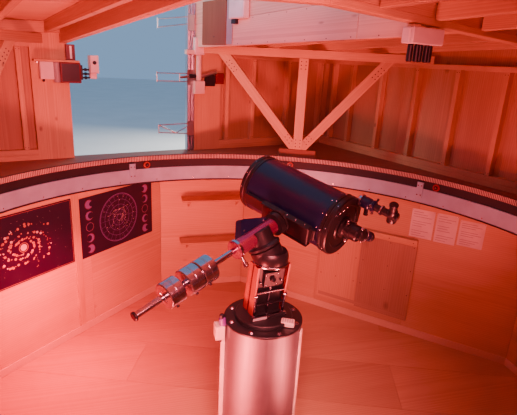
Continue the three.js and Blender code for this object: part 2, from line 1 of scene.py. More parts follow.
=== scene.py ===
"""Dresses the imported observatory: boards, timbers, fittings, materials, lights and the camera.

Lengths in this file are millimetres, as in the part's source, and become metres in Piece.make.
"""

import itertools
import math
import random

import bpy
from mathutils import Matrix, Vector


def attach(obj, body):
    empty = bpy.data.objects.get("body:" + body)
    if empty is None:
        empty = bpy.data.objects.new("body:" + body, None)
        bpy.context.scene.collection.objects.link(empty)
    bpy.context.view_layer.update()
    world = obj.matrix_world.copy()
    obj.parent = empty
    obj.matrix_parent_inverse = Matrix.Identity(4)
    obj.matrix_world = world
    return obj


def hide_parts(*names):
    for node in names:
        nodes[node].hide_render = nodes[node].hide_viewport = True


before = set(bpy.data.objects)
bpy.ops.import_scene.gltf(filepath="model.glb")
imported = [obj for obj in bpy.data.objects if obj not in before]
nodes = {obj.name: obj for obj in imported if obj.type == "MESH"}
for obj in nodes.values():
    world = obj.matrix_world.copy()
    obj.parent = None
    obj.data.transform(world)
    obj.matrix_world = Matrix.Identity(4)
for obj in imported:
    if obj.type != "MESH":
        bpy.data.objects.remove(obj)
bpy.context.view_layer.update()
rng = random.Random(11)

# Sizes, most of them the part's own
FLOOR_TOP = 200
LONG_WALL = 2266
SHORT_WALL = 2700
WALL_THICK = 120
WALL_TOP = 1700
DOOR_WALL = 3
DOOR_HALF = 400
DOOR_TOP = 1590
GAP = 0.3
RING_R = 2200
CURB_HOLE = RING_R + 136
BAND_BOTTOM = 1718
BAND_TOP = 1855
CURB_TOP = BAND_TOP - 12
ROLLER_COUNT = 9
ROLLER_FIRST = 287.6
ROLLER_AXLE = BAND_TOP + 38
BELT_TEETH = 832
BELT_BOTTOM, BELT_TOP = 1939, 1983
TOP_TURN = 17.7
TOP_HALF = 2442
STUD_DEPTH = 68
BOARD_THICK = 25
BOARD_PITCH = 145
SHEET_WIDTH = 1220
SHEATHING = 9
FELT_WIDTH = 930
EAVES = 65
FASCIA_DEPTH = 118
OUTER = TOP_HALF + STUD_DEPTH + BOARD_THICK
LEDGE_BOTTOM = 1944
LEDGE_TOP = 1962
SOLE_TOP = 2060
PLATE_TOP = 3010
PLATE_DEPTH = 45
SLIT_HALF = 636
SLIT_END = 300
COAMING_END = SLIT_END + 30
BEAM_FRONT = COAMING_END + GAP
RISE = 0.045
JOIST_BOTTOM = 3235
JOIST_TOP = 3330
BEAM_DROP = 30
BEAM_WIDTH = 65
DECK_THICK = 24
TRIMMER_BOTTOM_LEFT = 3158
TRIMMER_RISE_LEFT = 0.06
TRIMMER_BOTTOM_RIGHT = 3113.5
TRIMMER_RISE_RIGHT = 0.0263
TRIMMER_TOP = 3630
TRIMMER_THICK = 60
SLIT_SIDE = SLIT_HALF + TRIMMER_THICK + GAP
POST_WIDTH = 315
TRUSS_R = 2277
TRUSS_TURN = 3.3
TIE_TOP = 3080
TIE_DEPTH = 80
TRUSS_WIDTH = 98
PIER_R = 256
PIER_TOP = 1335
MOUNT_TURN = 10.9
PILLAR_FOOT = PIER_TOP + 30
PILLAR_TOP = 1772
PILLAR_LEAN = 0.1
PILLAR_SLOPE = 0.325
HOUSING_END = -90
AXES_CROSS = Vector((80, 62, 1942))
POLE_AZIMUTH = 329.4
POLE_ALTITUDE = 62.1
HOUR_TURN = 149.5
DEC_TURN = 306.8
TUBE_OFFSET = 440
TUBE_R = 196
LID_WIDTH, LID_LENGTH = 730, 2800
SHUTTER_WIDTH, SHUTTER_BOTTOM, SHUTTER_TOP = 625, 1985, 3020
HANDLE_HEIGHT = 1060
JOIST_PLACES = (800, 1250, 1700, 2150)
STUD_PLACES = [2274 - 470 * i for i in range(10)] + [-2274]
FRONT_STUDS = (1042, 1390, 1893, 2400)


# The camera stands where the photograph was taken: inside the top, in its rear left corner.
PHOTO_WIDTH = 517
FOCAL_PIXELS = 460


def make_camera():
    data = bpy.data.cameras.new("photo_camera")
    data.sensor_width = 36
    data.lens = FOCAL_PIXELS / PHOTO_WIDTH * data.sensor_width
    data.clip_start, data.clip_end = 0.01, 200
    camera = bpy.data.objects.new("photo_camera", data)
    right = Vector((-0.96435, 0.25954, 0.05143))
    up = Vector((-0.03145, -0.30542, 0.95169))
    back = Vector((0.26271, 0.91616, 0.30270))
    turn = Matrix((right, up, back)).transposed().to_4x4()
    camera.matrix_world = Matrix.Translation((0.8140, 2.5816, 2.9474)) @ turn
    bpy.context.scene.collection.objects.link(camera)
    bpy.context.scene.camera = camera


make_camera()


# Frames that pieces are drawn in
X, Y, Z = range(3)


def turned(degrees):
    return Matrix.Rotation(math.radians(degrees), 4, "Z")


TOP = turned(TOP_TURN)
HERE = Matrix.Identity(4)
SIGNS = list(itertools.product((-1, 1), repeat=3))
UPRIGHT_PLAN = Matrix(((0, 0, 1, 0), (1, 0, 0, 0), (0, 1, 0, 0), (0, 0, 0, 1)))


def rect(x0, x1, y0, y1):
    """The corners of a rectangle, counter-clockwise."""
    return [(x0, y0), (x1, y0), (x1, y1), (x0, y1)]


def angles_round(count):
    return [2 * math.pi * k / count for k in range(count)]


def ring_faces(count, n):
    """The faces between count loops of n points each, which close to a ring."""
    return [[k * n + i, (k + 1) % count * n + i, (k + 1) % count * n + (i + 1) % n, k * n + (i + 1) % n]
            for k in range(count) for i in range(n)]


def moved(x, y, z):
    return Matrix.Translation((x, y, z))


def basis(x, y, z, origin):
    return Matrix.Translation(origin) @ Matrix((x, y, z)).transposed().to_4x4()


def axis_frames():
    """The frames of the turning head and of the telescope, both at the crossing of the axes."""
    azimuth, altitude = math.radians(POLE_AZIMUTH), math.radians(POLE_ALTITUDE)
    pole = Vector((math.cos(altitude) * math.cos(azimuth), math.cos(altitude) * math.sin(azimuth),
        math.sin(altitude)))
    east = Vector((-math.sin(azimuth), math.cos(azimuth), 0))
    up = pole.cross(east)
    hour, turn = math.radians(HOUR_TURN), math.radians(DEC_TURN)
    dec = east * math.cos(hour) + up * math.sin(hour)
    sight = pole * math.cos(turn) + dec.cross(pole) * math.sin(turn)
    return (basis(dec, pole.cross(dec), pole, AXES_CROSS), basis(dec, sight.cross(dec), sight, AXES_CROSS))


HEAD, SCOPE = axis_frames()
TUBE = SCOPE @ moved(TUBE_OFFSET, 0, 0)


# Materials
class Shader:
    """A node material with short calls for the nodes it needs."""

    def __init__(self, name, color, rough, metal=0.0):
        self.material = bpy.data.materials.new(name)
        self.material.use_nodes = True
        self.material.diffuse_color = (*color, 1)
        self.tree = self.material.node_tree
        self.shader = self.tree.nodes["Principled BSDF"]
        self.shader.inputs["Base Color"].default_value = (*color, 1)
        self.shader.inputs["Roughness"].default_value = rough
        self.shader.inputs["Metallic"].default_value = metal

    def node(self, kind, inputs=(), **settings):
        made = self.tree.nodes.new("ShaderNode" + kind)
        for key, value in settings.items():
            setattr(made, key, value)
        for key, value in dict(inputs).items():
            if isinstance(value, bpy.types.NodeSocket):
                self.tree.links.new(value, made.inputs[key])
            else:
                made.inputs[key].default_value = value
        return made

    def coords(self, stretch=(1, 1, 1), turn=(0, 0, 0)):
        source = self.node("TexCoord").outputs["Object"]
        mapping = self.node("Mapping", {"Vector": source, "Rotation": turn, "Scale": stretch})
        return mapping.outputs[0]

    def stretched(self, vector, scale):
        made = self.node("VectorMath", {0: vector, 1: scale}, operation="MULTIPLY")
        return made.outputs[0]

    def noise(self, vector, scale, detail=3.0, rough=0.5):
        made = self.node("TexNoise", {"Vector": vector, "Scale": scale, "Detail": detail,
            "Roughness": rough})
        return made.outputs["Fac"]

    def math(self, operation, a, b, clamp=False):
        return self.node("Math", {0: a, 1: b}, operation=operation, use_clamp=clamp).outputs[0]

    def ramp(self, factor, stops):
        made = self.node("ValToRGB", {"Fac": factor})
        line = made.color_ramp
        while len(line.elements) < len(stops):
            line.elements.new(0.5)
        for element, (place, color) in zip(line.elements, stops):
            element.position = place
            element.color = (*color, 1)
        return made.outputs["Color"]

    def mix(self, factor, a, b, blend="MIX"):
        made = self.node("Mix", data_type="RGBA", blend_type=blend)
        for index, value in ((0, factor), (6, a), (7, b)):
            if isinstance(value, bpy.types.NodeSocket):
                self.tree.links.new(value, made.inputs[index])
            else:
                made.inputs[index].default_value = value
        return made.outputs[2]

    def span(self, factor, low, high):
        made = self.node("MapRange", {"Value": factor, "To Min": low, "To Max": high})
        return made.outputs[0]

    def attribute(self, name, output):
        return self.node("Attribute", attribute_name=name).outputs[output]

    def feed(self, socket, value):
        self.tree.links.new(value, self.shader.inputs[socket])

    def bump(self, height, strength, depth):
        made = self.node("Bump", {"Height": height, "Strength": strength, "Distance": depth})
        self.feed("Normal", made.outputs[0])


def wood(name, light, dark, grain=None, rings=46.0, knots=5.0, rough=0.55):
    """Sawn softwood. The grain follows X of the timbers' own grain coordinates or of the given
    turn of the object's coordinates."""
    s = Shader(name, light, rough)
    own = grain is None
    vector = s.attribute("grain", "Vector") if own else s.coords(turn=grain)
    ring = s.node("TexWave", {"Vector": s.stretched(vector, (0.22, 1, 1)), "Scale": rings,
        "Distortion": 3.2, "Detail": 2.0, "Detail Scale": 0.05}, wave_type="RINGS", rings_direction="X",
        wave_profile="SAW").outputs["Fac"]
    fibre = s.noise(s.stretched(vector, (4, 130, 130)), 1.0, 3.0)
    broad = s.noise(s.stretched(vector, (0.7, 5, 5)), 1.0, 2.0)
    mixed = s.math("ADD", s.math("MULTIPLY", ring, 0.26),
        s.math("ADD", s.math("MULTIPLY", fibre, 0.40), s.math("MULTIPLY", broad, 0.46)))
    middle = tuple((a + b) / 2 for a, b in zip(light, dark))
    color = s.ramp(mixed, [(0.3, light), (0.56, middle), (0.86, dark)])
    if own:
        tone = s.attribute("tone", "Fac")
        color = s.mix(1.0, color, s.ramp(tone, [(0.0, (0.80, 0.78, 0.76)), (1.0, (1.0, 1.0, 1.0))]),
            "MULTIPLY")
    cell = s.node("TexVoronoi", {"Vector": s.stretched(vector, (0.6, 1, 1)), "Scale": knots})
    knot = s.ramp(cell.outputs["Distance"], [(0.0, (0.85,) * 3), (0.05, (0.6,) * 3), (0.09, (0,) * 3)])
    shade = tuple(c * 0.42 for c in dark)
    s.feed("Base Color", s.mix(knot, color, (*shade, 1)))
    s.feed("Roughness", s.span(fibre, rough - 0.08, rough + 0.12))
    s.bump(s.math("ADD", s.math("MULTIPLY", ring, 0.4), fibre), 0.25, 0.0006)
    return s.material


def painted(name, color, rough, metal=0.0, grit=0.06):
    """Paint, plastic or rubber with a fine uneven skin."""
    s = Shader(name, color, rough, metal)
    vector = s.coords()
    cloud = s.noise(vector, 6.0, 4.0)
    dark = tuple(c * 0.8 for c in color)
    s.feed("Base Color", s.ramp(cloud, [(0.3, dark), (0.7, color)]))
    skin = s.noise(vector, 420.0, 2.0)
    s.feed("Roughness", s.span(skin, rough - grit, rough + grit))
    s.bump(skin, 0.08, 0.0004)
    return s.material


def brushed(name, color, rough, stretch, scale=60.0):
    """Bare metal with brush marks; a small stretch gives the direction they run in."""
    s = Shader(name, color, rough, 1.0)
    marks = s.noise(s.coords(stretch), scale, 4.0, 0.7)
    cloud = s.noise(s.coords(), 3.0, 3.0)
    dark = tuple(c * 0.72 for c in color)
    s.feed("Base Color", s.ramp(cloud, [(0.25, dark), (0.75, color)]))
    s.feed("Roughness", s.span(marks, rough - 0.1, rough + 0.14))
    s.bump(marks, 0.12, 0.0003)
    return s.material


def felt(name, color):
    """Mineral roofing felt: dark with light grit."""
    s = Shader(name, color, 0.9)
    vector = s.coords()
    grit = s.noise(vector, 700.0, 2.0)
    cloud = s.noise(vector, 1.4, 4.0)
    pale = tuple(min(1, c * 2.1) for c in color)
    base = s.ramp(grit, [(0.42, color), (0.68, pale)])
    s.feed("Base Color", s.mix(1.0, base, s.ramp(cloud, [(0.2, (0.78,) * 3), (0.8, (1,) * 3)]), "MULTIPLY"))
    s.bump(grit, 0.5, 0.001)
    return s.material


def lens(name):
    """Coated glass, dark inside the tube."""
    s = Shader(name, (0.35, 0.42, 0.5), 0.03)
    s.shader.inputs["Transmission Weight"].default_value = 1.0
    s.shader.inputs["IOR"].default_value = 1.5
    cloud = s.noise(s.coords(), 30.0, 2.0)
    s.feed("Roughness", s.span(cloud, 0.02, 0.06))
    return s.material


PINE_LIGHT, PINE_DARK = (0.70, 0.46, 0.25), (0.47, 0.27, 0.13)
PLY_LIGHT, PLY_DARK = (0.74, 0.51, 0.30), (0.56, 0.35, 0.19)
MATERIALS = {
    "pine": wood("pine", PINE_LIGHT, PINE_DARK),
    "plywood": wood("plywood", PLY_LIGHT, PLY_DARK, rings=16.0, knots=2.2),
    "trimmer": wood("trimmer_plywood", (0.80, 0.57, 0.44), (0.60, 0.38, 0.28), rings=14.0, knots=3.4),
    "sheathing": wood("sheathing", (0.56, 0.35, 0.19), (0.38, 0.21, 0.10), rings=16.0, knots=2.2),
    "pale": wood("pale_pine", (0.82, 0.64, 0.46), (0.66, 0.48, 0.31)),
    # Dark brown: on the trusses' short soles it is painted shade on pine; the trimmer's board uses it too.
    "brown": wood("brown_board_and_shade", (0.24, 0.085, 0.035), (0.15, 0.05, 0.02), rings=18.0, knots=2.0),
    # Darkened plywood for the ledge deck: mostly painted shade on the ledge, partly the deck's own darker
    # boards.
    "stained": wood("ledge_shade_plywood", (0.30, 0.14, 0.09), (0.20, 0.085, 0.055), rings=14.0, knots=1.5),
    "hatch": wood("hatch_plywood", (0.52, 0.38, 0.24), (0.36, 0.25, 0.15), rings=14.0, knots=2.0),
    "floor": wood("floor_wood", (0.66, 0.43, 0.25), (0.50, 0.30, 0.16), rings=16.0, knots=1.8, rough=0.40),
    "cladding": wood("cladding", (0.50, 0.33, 0.20), (0.30, 0.18, 0.105), rings=34.0, rough=0.68),
    "pine_flat": wood("pine_flat", PINE_LIGHT, PINE_DARK, grain=(0, 0, 0)),
    "felt": felt("roof_felt", (0.045, 0.048, 0.052)),
    "lens": lens("corrector_lens"),
}
for key, *look in (
        ("steel", "pier_steel", (0.31, 0.31, 0.33), 0.54, (1, 1, 0.03)),
        # Bright steel: its blue tint is a painted reflection, the blue sheen seen on the counterweights.
        ("bright", "bright_steel", (0.62, 0.62, 0.72), 0.2, (1, 1, 1), 90.0),
        ("alloy", "bare_aluminium", (0.70, 0.73, 0.78), 0.3, (1, 1, 0.05)),
        ("galvanised", "galvanised", (0.55, 0.57, 0.58), 0.45, (1, 1, 1), 30.0)):
    MATERIALS[key] = brushed(*look)
for key, *look in (
        # The track band: a pale band whose blue tint is a painted reflection of daylight from the slit.
        ("band", "pale_band_sky_tint", (0.38, 0.64, 0.76), 0.42, 0.1),
        ("belt", "belt_rib", (0.62, 0.52, 0.42), 0.5),
        ("belt_ground", "belt_ground", (0.035, 0.028, 0.026), 0.6),
        ("black", "black_paint", (0.018, 0.018, 0.02), 0.36, 0.2),
        ("rubber", "black_rubber", (0.02, 0.02, 0.022), 0.62),
        ("tube", "tube_paint", (0.008, 0.012, 0.060), 0.3, 0.0, 0.04),
        ("red", "red_hub", (0.34, 0.015, 0.02), 0.4),
        ("housing", "housing_metal", (0.36, 0.05, 0.16), 0.28, 0.7),
        ("clamp", "clamp_paint", (0.014, 0.011, 0.013), 0.38, 0.15),
        ("white", "white_plastic", (0.74, 0.74, 0.72), 0.45),
        ("cream", "cream_plastic", (0.68, 0.62, 0.52), 0.45),
        ("grey", "grey_plastic", (0.36, 0.37, 0.37), 0.4),
        ("wine", "wine_plastic", (0.13, 0.012, 0.016), 0.25),
        ("violet", "violet_plastic", (0.20, 0.05, 0.36), 0.4),
        ("glow", "strip_lamp", (0.9, 0.88, 0.85), 0.35),
        ("night", "night_print", (0.022, 0.016, 0.045), 0.5),
        ("rose_print", "rose_print", (0.50, 0.16, 0.13), 0.5),
        ("violet_print", "violet_print", (0.26, 0.16, 0.55), 0.5),
        ("pale_print", "pale_print", (0.72, 0.64, 0.60), 0.5),
        ("sheet", "sheet_paper", (0.80, 0.76, 0.73), 0.7)):
    MATERIALS[key] = painted(*look)


# Piece building
class Piece:
    """Solids that become one object. Each keeps its own grain direction and tone, and its skin
    is a number in the piece's list of materials."""

    def __init__(self, name, body, place, materials, slot=None):
        self.name, self.body, self.place, self.slot = name, body, place, slot
        self.materials = materials.split()
        self.points, self.faces, self.grain, self.tone = [], [], [], []
        self.skins, self.smooth = [], []

    def solid(self, points, faces, along=X, skin=0, smooth=False, warp=None, axes=None):
        """A closed body. Its grain runs along one of its axes, which may be turned first."""
        points = [Vector(p) for p in points]
        middle = sum(points, Vector()) / len(points)
        shift = Vector((rng.uniform(0, 40), rng.uniform(-0.16, 0.16), rng.uniform(0.03, 0.22)))
        order = (along, (along + 1) % 3, (along + 2) % 3)
        tone = rng.random()
        start = len(self.points)
        for p in points:
            local = (p - middle) / 1000
            if axes is not None:
                local = axes @ local
            self.grain.append(Vector([local[i] for i in order]) + shift)
            self.tone.append(tone)
            self.points.append(warp(p) if warp else p)
        self.faces += [[start + i for i in face] for face in faces]
        self.skins += [skin] * len(faces)
        self.smooth += [smooth] * len(faces)

    def block(self, xs, ys, zs, along=X, chamfer=2.5, skin=0, warp=None, place=HERE):
        """A box between the limits of xs, ys and zs with chamfered edges."""
        low, high = (Vector([pick(pair) for pair in (xs, ys, zs)]) for pick in (min, max))
        centre, half = (low + high) / 2, (high - low) / 2
        c = min(chamfer, min(half) * 0.45)
        points, index = [], {}
        for signs in SIGNS:
            for axis in range(3):
                p = Vector([sign * (reach - c) for sign, reach in zip(signs, half)])
                p[axis] += signs[axis] * c
                index[(*signs, axis)] = len(points)
                points.append(place @ (centre + p))
        self.solid(points, block_faces(index), along, skin, False, warp)

    def prism(self, outline, z0, z1, along=X, skin=0, warp=None, place=HERE, axes=None):
        """A plan outline, counter-clockwise, raised from z0 to z1."""
        n = len(outline)
        faces = [list(range(n))[::-1], list(range(n, 2 * n))]
        faces += [[i, (i + 1) % n, n + (i + 1) % n, n + i] for i in range(n)]
        points = [place @ Vector((x, y, z)) for z in (z0, z1) for x, y in outline]
        self.solid(points, faces, along, skin, False, warp, axes)

    def ring_plate(self, radius, reach, corners, z0, z1, skin=0):
        """A plate with a round hole; reach gives its outer limit at each angle in degrees."""
        angles = sorted({round(3.75 * k, 4) for k in range(96)} | {round(a % 360, 4) for a in corners})
        points = [turned(angle) @ Vector((r, 0, z)) for angle in angles
                  for r, z in rect(radius, reach(angle), z0, z1)]
        self.solid(points, ring_faces(len(angles), 4), X, skin)

    def lathe(self, profile, segments, skin=0, place=HERE, warp=None):
        """A profile of (radius, height) points turned about Z; it closes on itself."""
        points = [place @ Vector((r * math.cos(a), r * math.sin(a), z)) for a in angles_round(segments)
                  for r, z in profile]
        self.solid(points, ring_faces(segments, len(profile)), Z, skin, True, warp)

    def blocks(self, *rows, place=HERE):
        for row in rows:
            self.block(*row, place=place)

    def pin(self, start, axis, length, radius, segments=20, skin=0, chamfer=0.0, place=HERE):
        """A round bar that runs from start along an axis."""
        end = Vector(start)
        end[axis] += length
        self.rod(start, end, radius, segments, skin, chamfer, place)

    def pins_round(self, count, first, *pins, place=HERE):
        """The same pins at equal steps about Z, the first of them at the angle first."""
        for k in range(count):
            for row in pins:
                self.pin(*row, place=place @ turned(360 / count * k + first))

    def rod(self, start, end, radius, segments=20, skin=0, chamfer=0.0, place=HERE):
        """A round bar with its ends closed, and chamfered if asked."""
        start, end = place @ Vector(start), place @ Vector(end)
        length = (end - start).length
        lie = Matrix.Translation(start) @ (end - start).to_track_quat("Z", "Y").to_matrix().to_4x4()
        c = max(chamfer, 0.001)
        rings = [(radius - c, 0), (radius, c), (radius, length - c), (radius - c, length)]
        points = [lie @ Vector((r * math.cos(a), r * math.sin(a), z)) for r, z in rings
                  for a in angles_round(segments)]
        faces = [list(range(segments))[::-1], list(range(3 * segments, 4 * segments))]
        for row in range(0, 3 * segments, segments):
            for k in range(segments):
                j = (k + 1) % segments
                faces.append([row + k, row + j, row + segments + j, row + segments + k])
        self.solid(points, faces, X, skin, True)

    def make(self, *replaces):
        mesh = bpy.data.meshes.new(self.name)
        mesh.from_pydata([self.place @ p / 1000 for p in self.points], [], self.faces)
        for name in self.materials:
            mesh.materials.append(MATERIALS[name])
        mesh.polygons.foreach_set("material_index", self.skins)
        mesh.polygons.foreach_set("use_smooth", self.smooth)
        grain = mesh.attributes.new("grain", "FLOAT_VECTOR", "POINT")
        grain.data.foreach_set("vector", [x for g in self.grain for x in g])
        mesh.attributes.new("tone", "FLOAT", "POINT").data.foreach_set("value", self.tone)
        if any(self.smooth):
            mesh.set_sharp_from_angle(angle=math.radians(35))
        mesh.update()
        made = bpy.data.objects.new(self.name, mesh)
        bpy.context.scene.collection.objects.link(made)
        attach(made, self.body)
        if replaces:
            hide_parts(*replaces)


def room_piece(name, materials, slot=None, place=HERE):
    return Piece(name, "building", place, materials, slot)


def top_piece(name, materials, slot=None, place=TOP):
    return Piece(name, "rotating_top", place, materials, slot)


def block_faces(index):
    """The faces of a chamfered box, whose corner points are found by signs and axis."""
    faces = []
    for axis in range(3):
        u, v = (axis + 1) % 3, (axis + 2) % 3

        def corner(sign, su, sv, own):
            key = [0, 0, 0]
            key[axis], key[u], key[v] = sign, su, sv
            return index[(*key, own)]

        for sign in (-1, 1):
            loop = [corner(sign, su, sv, axis) for su, sv in rect(-1, 1, -1, 1)]
            faces.append(loop[::sign])
        for su, sv in ((-1, -1), (-1, 1), (1, -1), (1, 1)):
            quad = [corner(sign, su, sv, own) for sign, own in ((-1, u), (1, u), (1, v), (-1, v))]
            faces.append(quad[::su * sv])
    for signs in SIGNS:
        faces.append([index[(*signs, axis)] for axis in range(3)][::math.prod(signs)])
    return faces


BOX_FACES = [[3, 2, 1, 0], [4, 5, 6, 7], [0, 1, 5, 4], [1, 2, 6, 5], [2, 3, 7, 6], [3, 0, 4, 7]]


def box_points(x0, x1, y0, y1, z0, z1):
    return [Vector((x, y, z)) for z in (z0, z1) for x, y in rect(x0, x1, y0, y1)]


def along_bar(start, end, side):
    """A frame at start whose Z runs to end and whose X lies near side, and the length."""
    start, end, side = Vector(start), Vector(end), Vector(side)
    z = (end - start).normalized()
    x = (side - z * side.dot(z)).normalized()
    return basis(x, z.cross(x), z, start), (end - start).length


def clipped(outline, frame_points):
    """The part of a convex outline that lies inside a convex counter-clockwise frame."""
    for i, a in enumerate(frame_points):
        b = frame_points[(i + 1) % len(frame_points)]
        nx, ny = a[1] - b[1], b[0] - a[0]

        def side(p):
            return (p[0] - a[0]) * nx + (p[1] - a[1]) * ny

        kept = []
        for k, p in enumerate(outline):
            q = outline[(k + 1) % len(outline)]
            sp, sq = side(p), side(q)
            if sp >= 0:
                kept.append(p)
            if sp * sq < 0:
                t = sp / (sp - sq)
                kept.append((p[0] + (q[0] - p[0]) * t, p[1] + (q[1] - p[1]) * t))
        outline = kept
        if len(outline) < 3:
            return []
    return outline


def spread(start, end, step, gap):
    """Equal runs between start and end, about step long, with a gap between them."""
    count = max(1, round((end - start) / step))
    size = (end - start) / count
    return [(start + size * i + gap / 2, start + size * (i + 1) - gap / 2) for i in range(count)]


# The room
def wall_distance(index, spare=0.0):
    return (SHORT_WALL if index % 2 == 0 else LONG_WALL) + spare


def wall_half(index, spare=0.0):
    return math.sqrt(2) * wall_distance(index + 1, spare) - wall_distance(index, spare)


def room_outline(spare):
    corners = [turned(45 * i) @ Vector((wall_distance(i, spare), wall_half(i, spare), 0)) for i in range(8)]
    return [(p.x, p.y) for p in corners]


SHEET = 22
LINING = 15
FLOOR_REACH = 3600
FLOOR_SHEET, FLOOR_ROW = 2400, 600


def make_floor():
    """Sheets in staggered rows over a solid base; the rows run aslant to the walls."""
    outline = room_outline(WALL_THICK)
    piece = room_piece("floor_sheets", "floor pine", "floor_boards")
    piece.prism(outline, 0, FLOOR_TOP - SHEET - 1, X, 1)
    plan = turned(-20)
    room = [(plan.inverted() @ Vector((x, y, 0))).to_tuple()[:2] for x, y in outline]
    for row, (y0, y1) in enumerate(spread(-FLOOR_REACH, FLOOR_REACH, FLOOR_ROW, 2.5)):
        for k in range(4):
            x0 = FLOOR_SHEET * k - FLOOR_REACH - FLOOR_SHEET / 2 * (row % 2)
            cut = clipped(rect(x0 + 1, x0 + FLOOR_SHEET - 1, y0, y1), room)
            if cut:
                piece.prism(cut, FLOOR_TOP - SHEET, FLOOR_TOP, X, 0, place=plan)
    piece.make("floor_deck")


def make_room_walls():
    """Plywood inside, a solid core and upright boards outside, around the doorway in one wall."""
    low, high = FLOOR_TOP + GAP, WALL_TOP
    for i in range(8):
        piece = room_piece(f"wall_lining_{i + 1}", "plywood cladding pine", "plywood", turned(45 * i))
        x0, x1 = wall_distance(i), wall_distance(i, WALL_THICK)
        core = (x0 + LINING + 0.5, x1 - SHEET - 1)
        inner, outer, near, far = (wall_half(i, spare) - GAP for spare in (
            0, WALL_THICK - SHEET, LINING + 0.5, WALL_THICK - SHEET - 1))
        bays = [(-inner, inner, low, high)]
        if i == DOOR_WALL:
            bays = [(-inner, -DOOR_HALF, low, high), (DOOR_HALF, inner, low, high),
                (-DOOR_HALF, DOOR_HALF, DOOR_TOP, high)]
        for y0, y1, z0, z1 in bays:
            starts, ends = y0 <= 1 - inner, y1 >= inner - 1
            for ys in spread(y0, y1, SHEET_WIDTH, 2):
                piece.block((x0, x0 + LINING), ys, (z0, z1), Y, 1.0, 0)
            plan = [(core[0], -near if starts else y0), (core[1], -far if starts else y0),
                (core[1], far if ends else y1), (core[0], near if ends else y1)]
            piece.prism(plan, z0, z1, Z, 2)
            for ys in spread(-outer if starts else y0, outer if ends else y1, BOARD_PITCH, 3):
                piece.block((x1 - SHEET, x1), ys, (z0 + 4, z1 - 2), Z, 3.0, 1)
        piece.make(f"wall_panel_{i + 1}")


def make_room_trim():
    """Corner boards outside, skirting inside and the eaves board over the curb."""
    piece = room_piece("room_trim", "pale cladding", "pine")
    for i in range(8):
        wall = turned(45 * i)
        face, half = wall_distance(i, WALL_THICK), wall_half(i, WALL_THICK)
        for side in (-1, 1):
            ys = (side * (half - 70), side * (half + 5))
            piece.block((face + 0.5, face + 18), ys, (FLOOR_TOP + 6, WALL_TOP - 12), Z, 3, 1, place=wall)
        eaves = (WALL_TOP - 8, CURB_TOP - 1)
        piece.block((face + 0.5, face + 24), (-half - 8, half + 8), eaves, Y, 3, 1, place=wall)
        inner, run = wall_distance(i), wall_half(i) - 6
        parts = [(-run, run)]
        if i == DOOR_WALL:
            parts = [(-run, -DOOR_HALF - 2), (DOOR_HALF + 2, run)]
        skirting = (FLOOR_TOP + 0.5, FLOOR_TOP + 78)
        for ys in parts:
            piece.block((inner - 13, inner - 0.5), ys, skirting, Y, 2, 0, place=wall)
    piece.make()


# The rotating top
def roof_line(x, y):
    """The height of the walls' boards just under the roof."""
    return JOIST_TOP - GAP - RISE * abs(x) + RISE * y - 0.5


def roof_shear(p):
    """Tilts what is drawn level into the roof's fall, down to both sides and to the front."""
    return Vector((p.x, p.y, p.z - RISE * abs(p.x) + RISE * p.y))


def upright_board(piece, wall, x0, x1, y, z0, skin):
    """A board of a top wall that reaches up to the roof; wall is the turn of its plan."""
    corners = [wall @ p for p in box_points(x0, x1, *y, z0, z0)]
    for p in corners[4:]:
        p.z = roof_line(p.x, p.y)
    piece.solid(corners, BOX_FACES, Z, skin)


def board_wall(piece, wall, x0, x1):
    """Vertical cladding over a plywood sheet, behind the studs of a wall on the +Y side."""
    face = TOP_HALF + STUD_DEPTH
    for a, b in spread(x0, x1, SHEET_WIDTH, 1.5):
        upright_board(piece, wall, a, b, (face, face + SHEATHING), LEDGE_TOP + GAP, 1)
    for a, b in spread(x0, x1, BOARD_PITCH, 3):
        upright_board(piece, wall, a, b, (face + SHEATHING + 0.5, OUTER), LEDGE_TOP + 4, 2)


def framed(piece, wall, x0, x1, studs):
    """Two soles, a top plate and the studs of a wall on the +Y side."""
    ys = (TOP_HALF, TOP_HALF + STUD_DEPTH - 0.5)
    for zs in ((LEDGE_TOP + GAP, LEDGE_TOP + 48), (LEDGE_TOP + 49, SOLE_TOP),
            (PLATE_TOP - PLATE_DEPTH, PLATE_TOP)):
        piece.block((x0, x1), ys, zs, X, place=wall)
    for x in studs:
        piece.block((x - 22, x + 22), ys, (SOLE_TOP + 0.5, PLATE_TOP - PLATE_DEPTH - 0.5), Z, place=wall)


def nails(piece, wall, x):
    """Pairs of nail heads at the foot and the head of a stud of a wall on the +Y side."""
    for z in (SOLE_TOP + 22, PLATE_TOP - PLATE_DEPTH - 22):
        for dx in (-12, 12):
            piece.pin((x + dx, TOP_HALF + 0.2, z), Y, -1.4, 3.5, 8, 3, place=wall)


def corner_post(piece, wall, side):
    """The post that closes a corner beside a wall on the +Y side, boarded on its outer face."""
    face, foot = TOP_HALF + STUD_DEPTH, LEDGE_TOP + GAP
    for x0, x1, z0, skin in ((TOP_HALF, face + SHEATHING, foot, 0),
            (face + SHEATHING + 0.5, OUTER, foot + 4, 2)):
        upright_board(piece, wall, *sorted((side * x0, side * x1)), (TOP_HALF, face - 0.5), z0, skin)


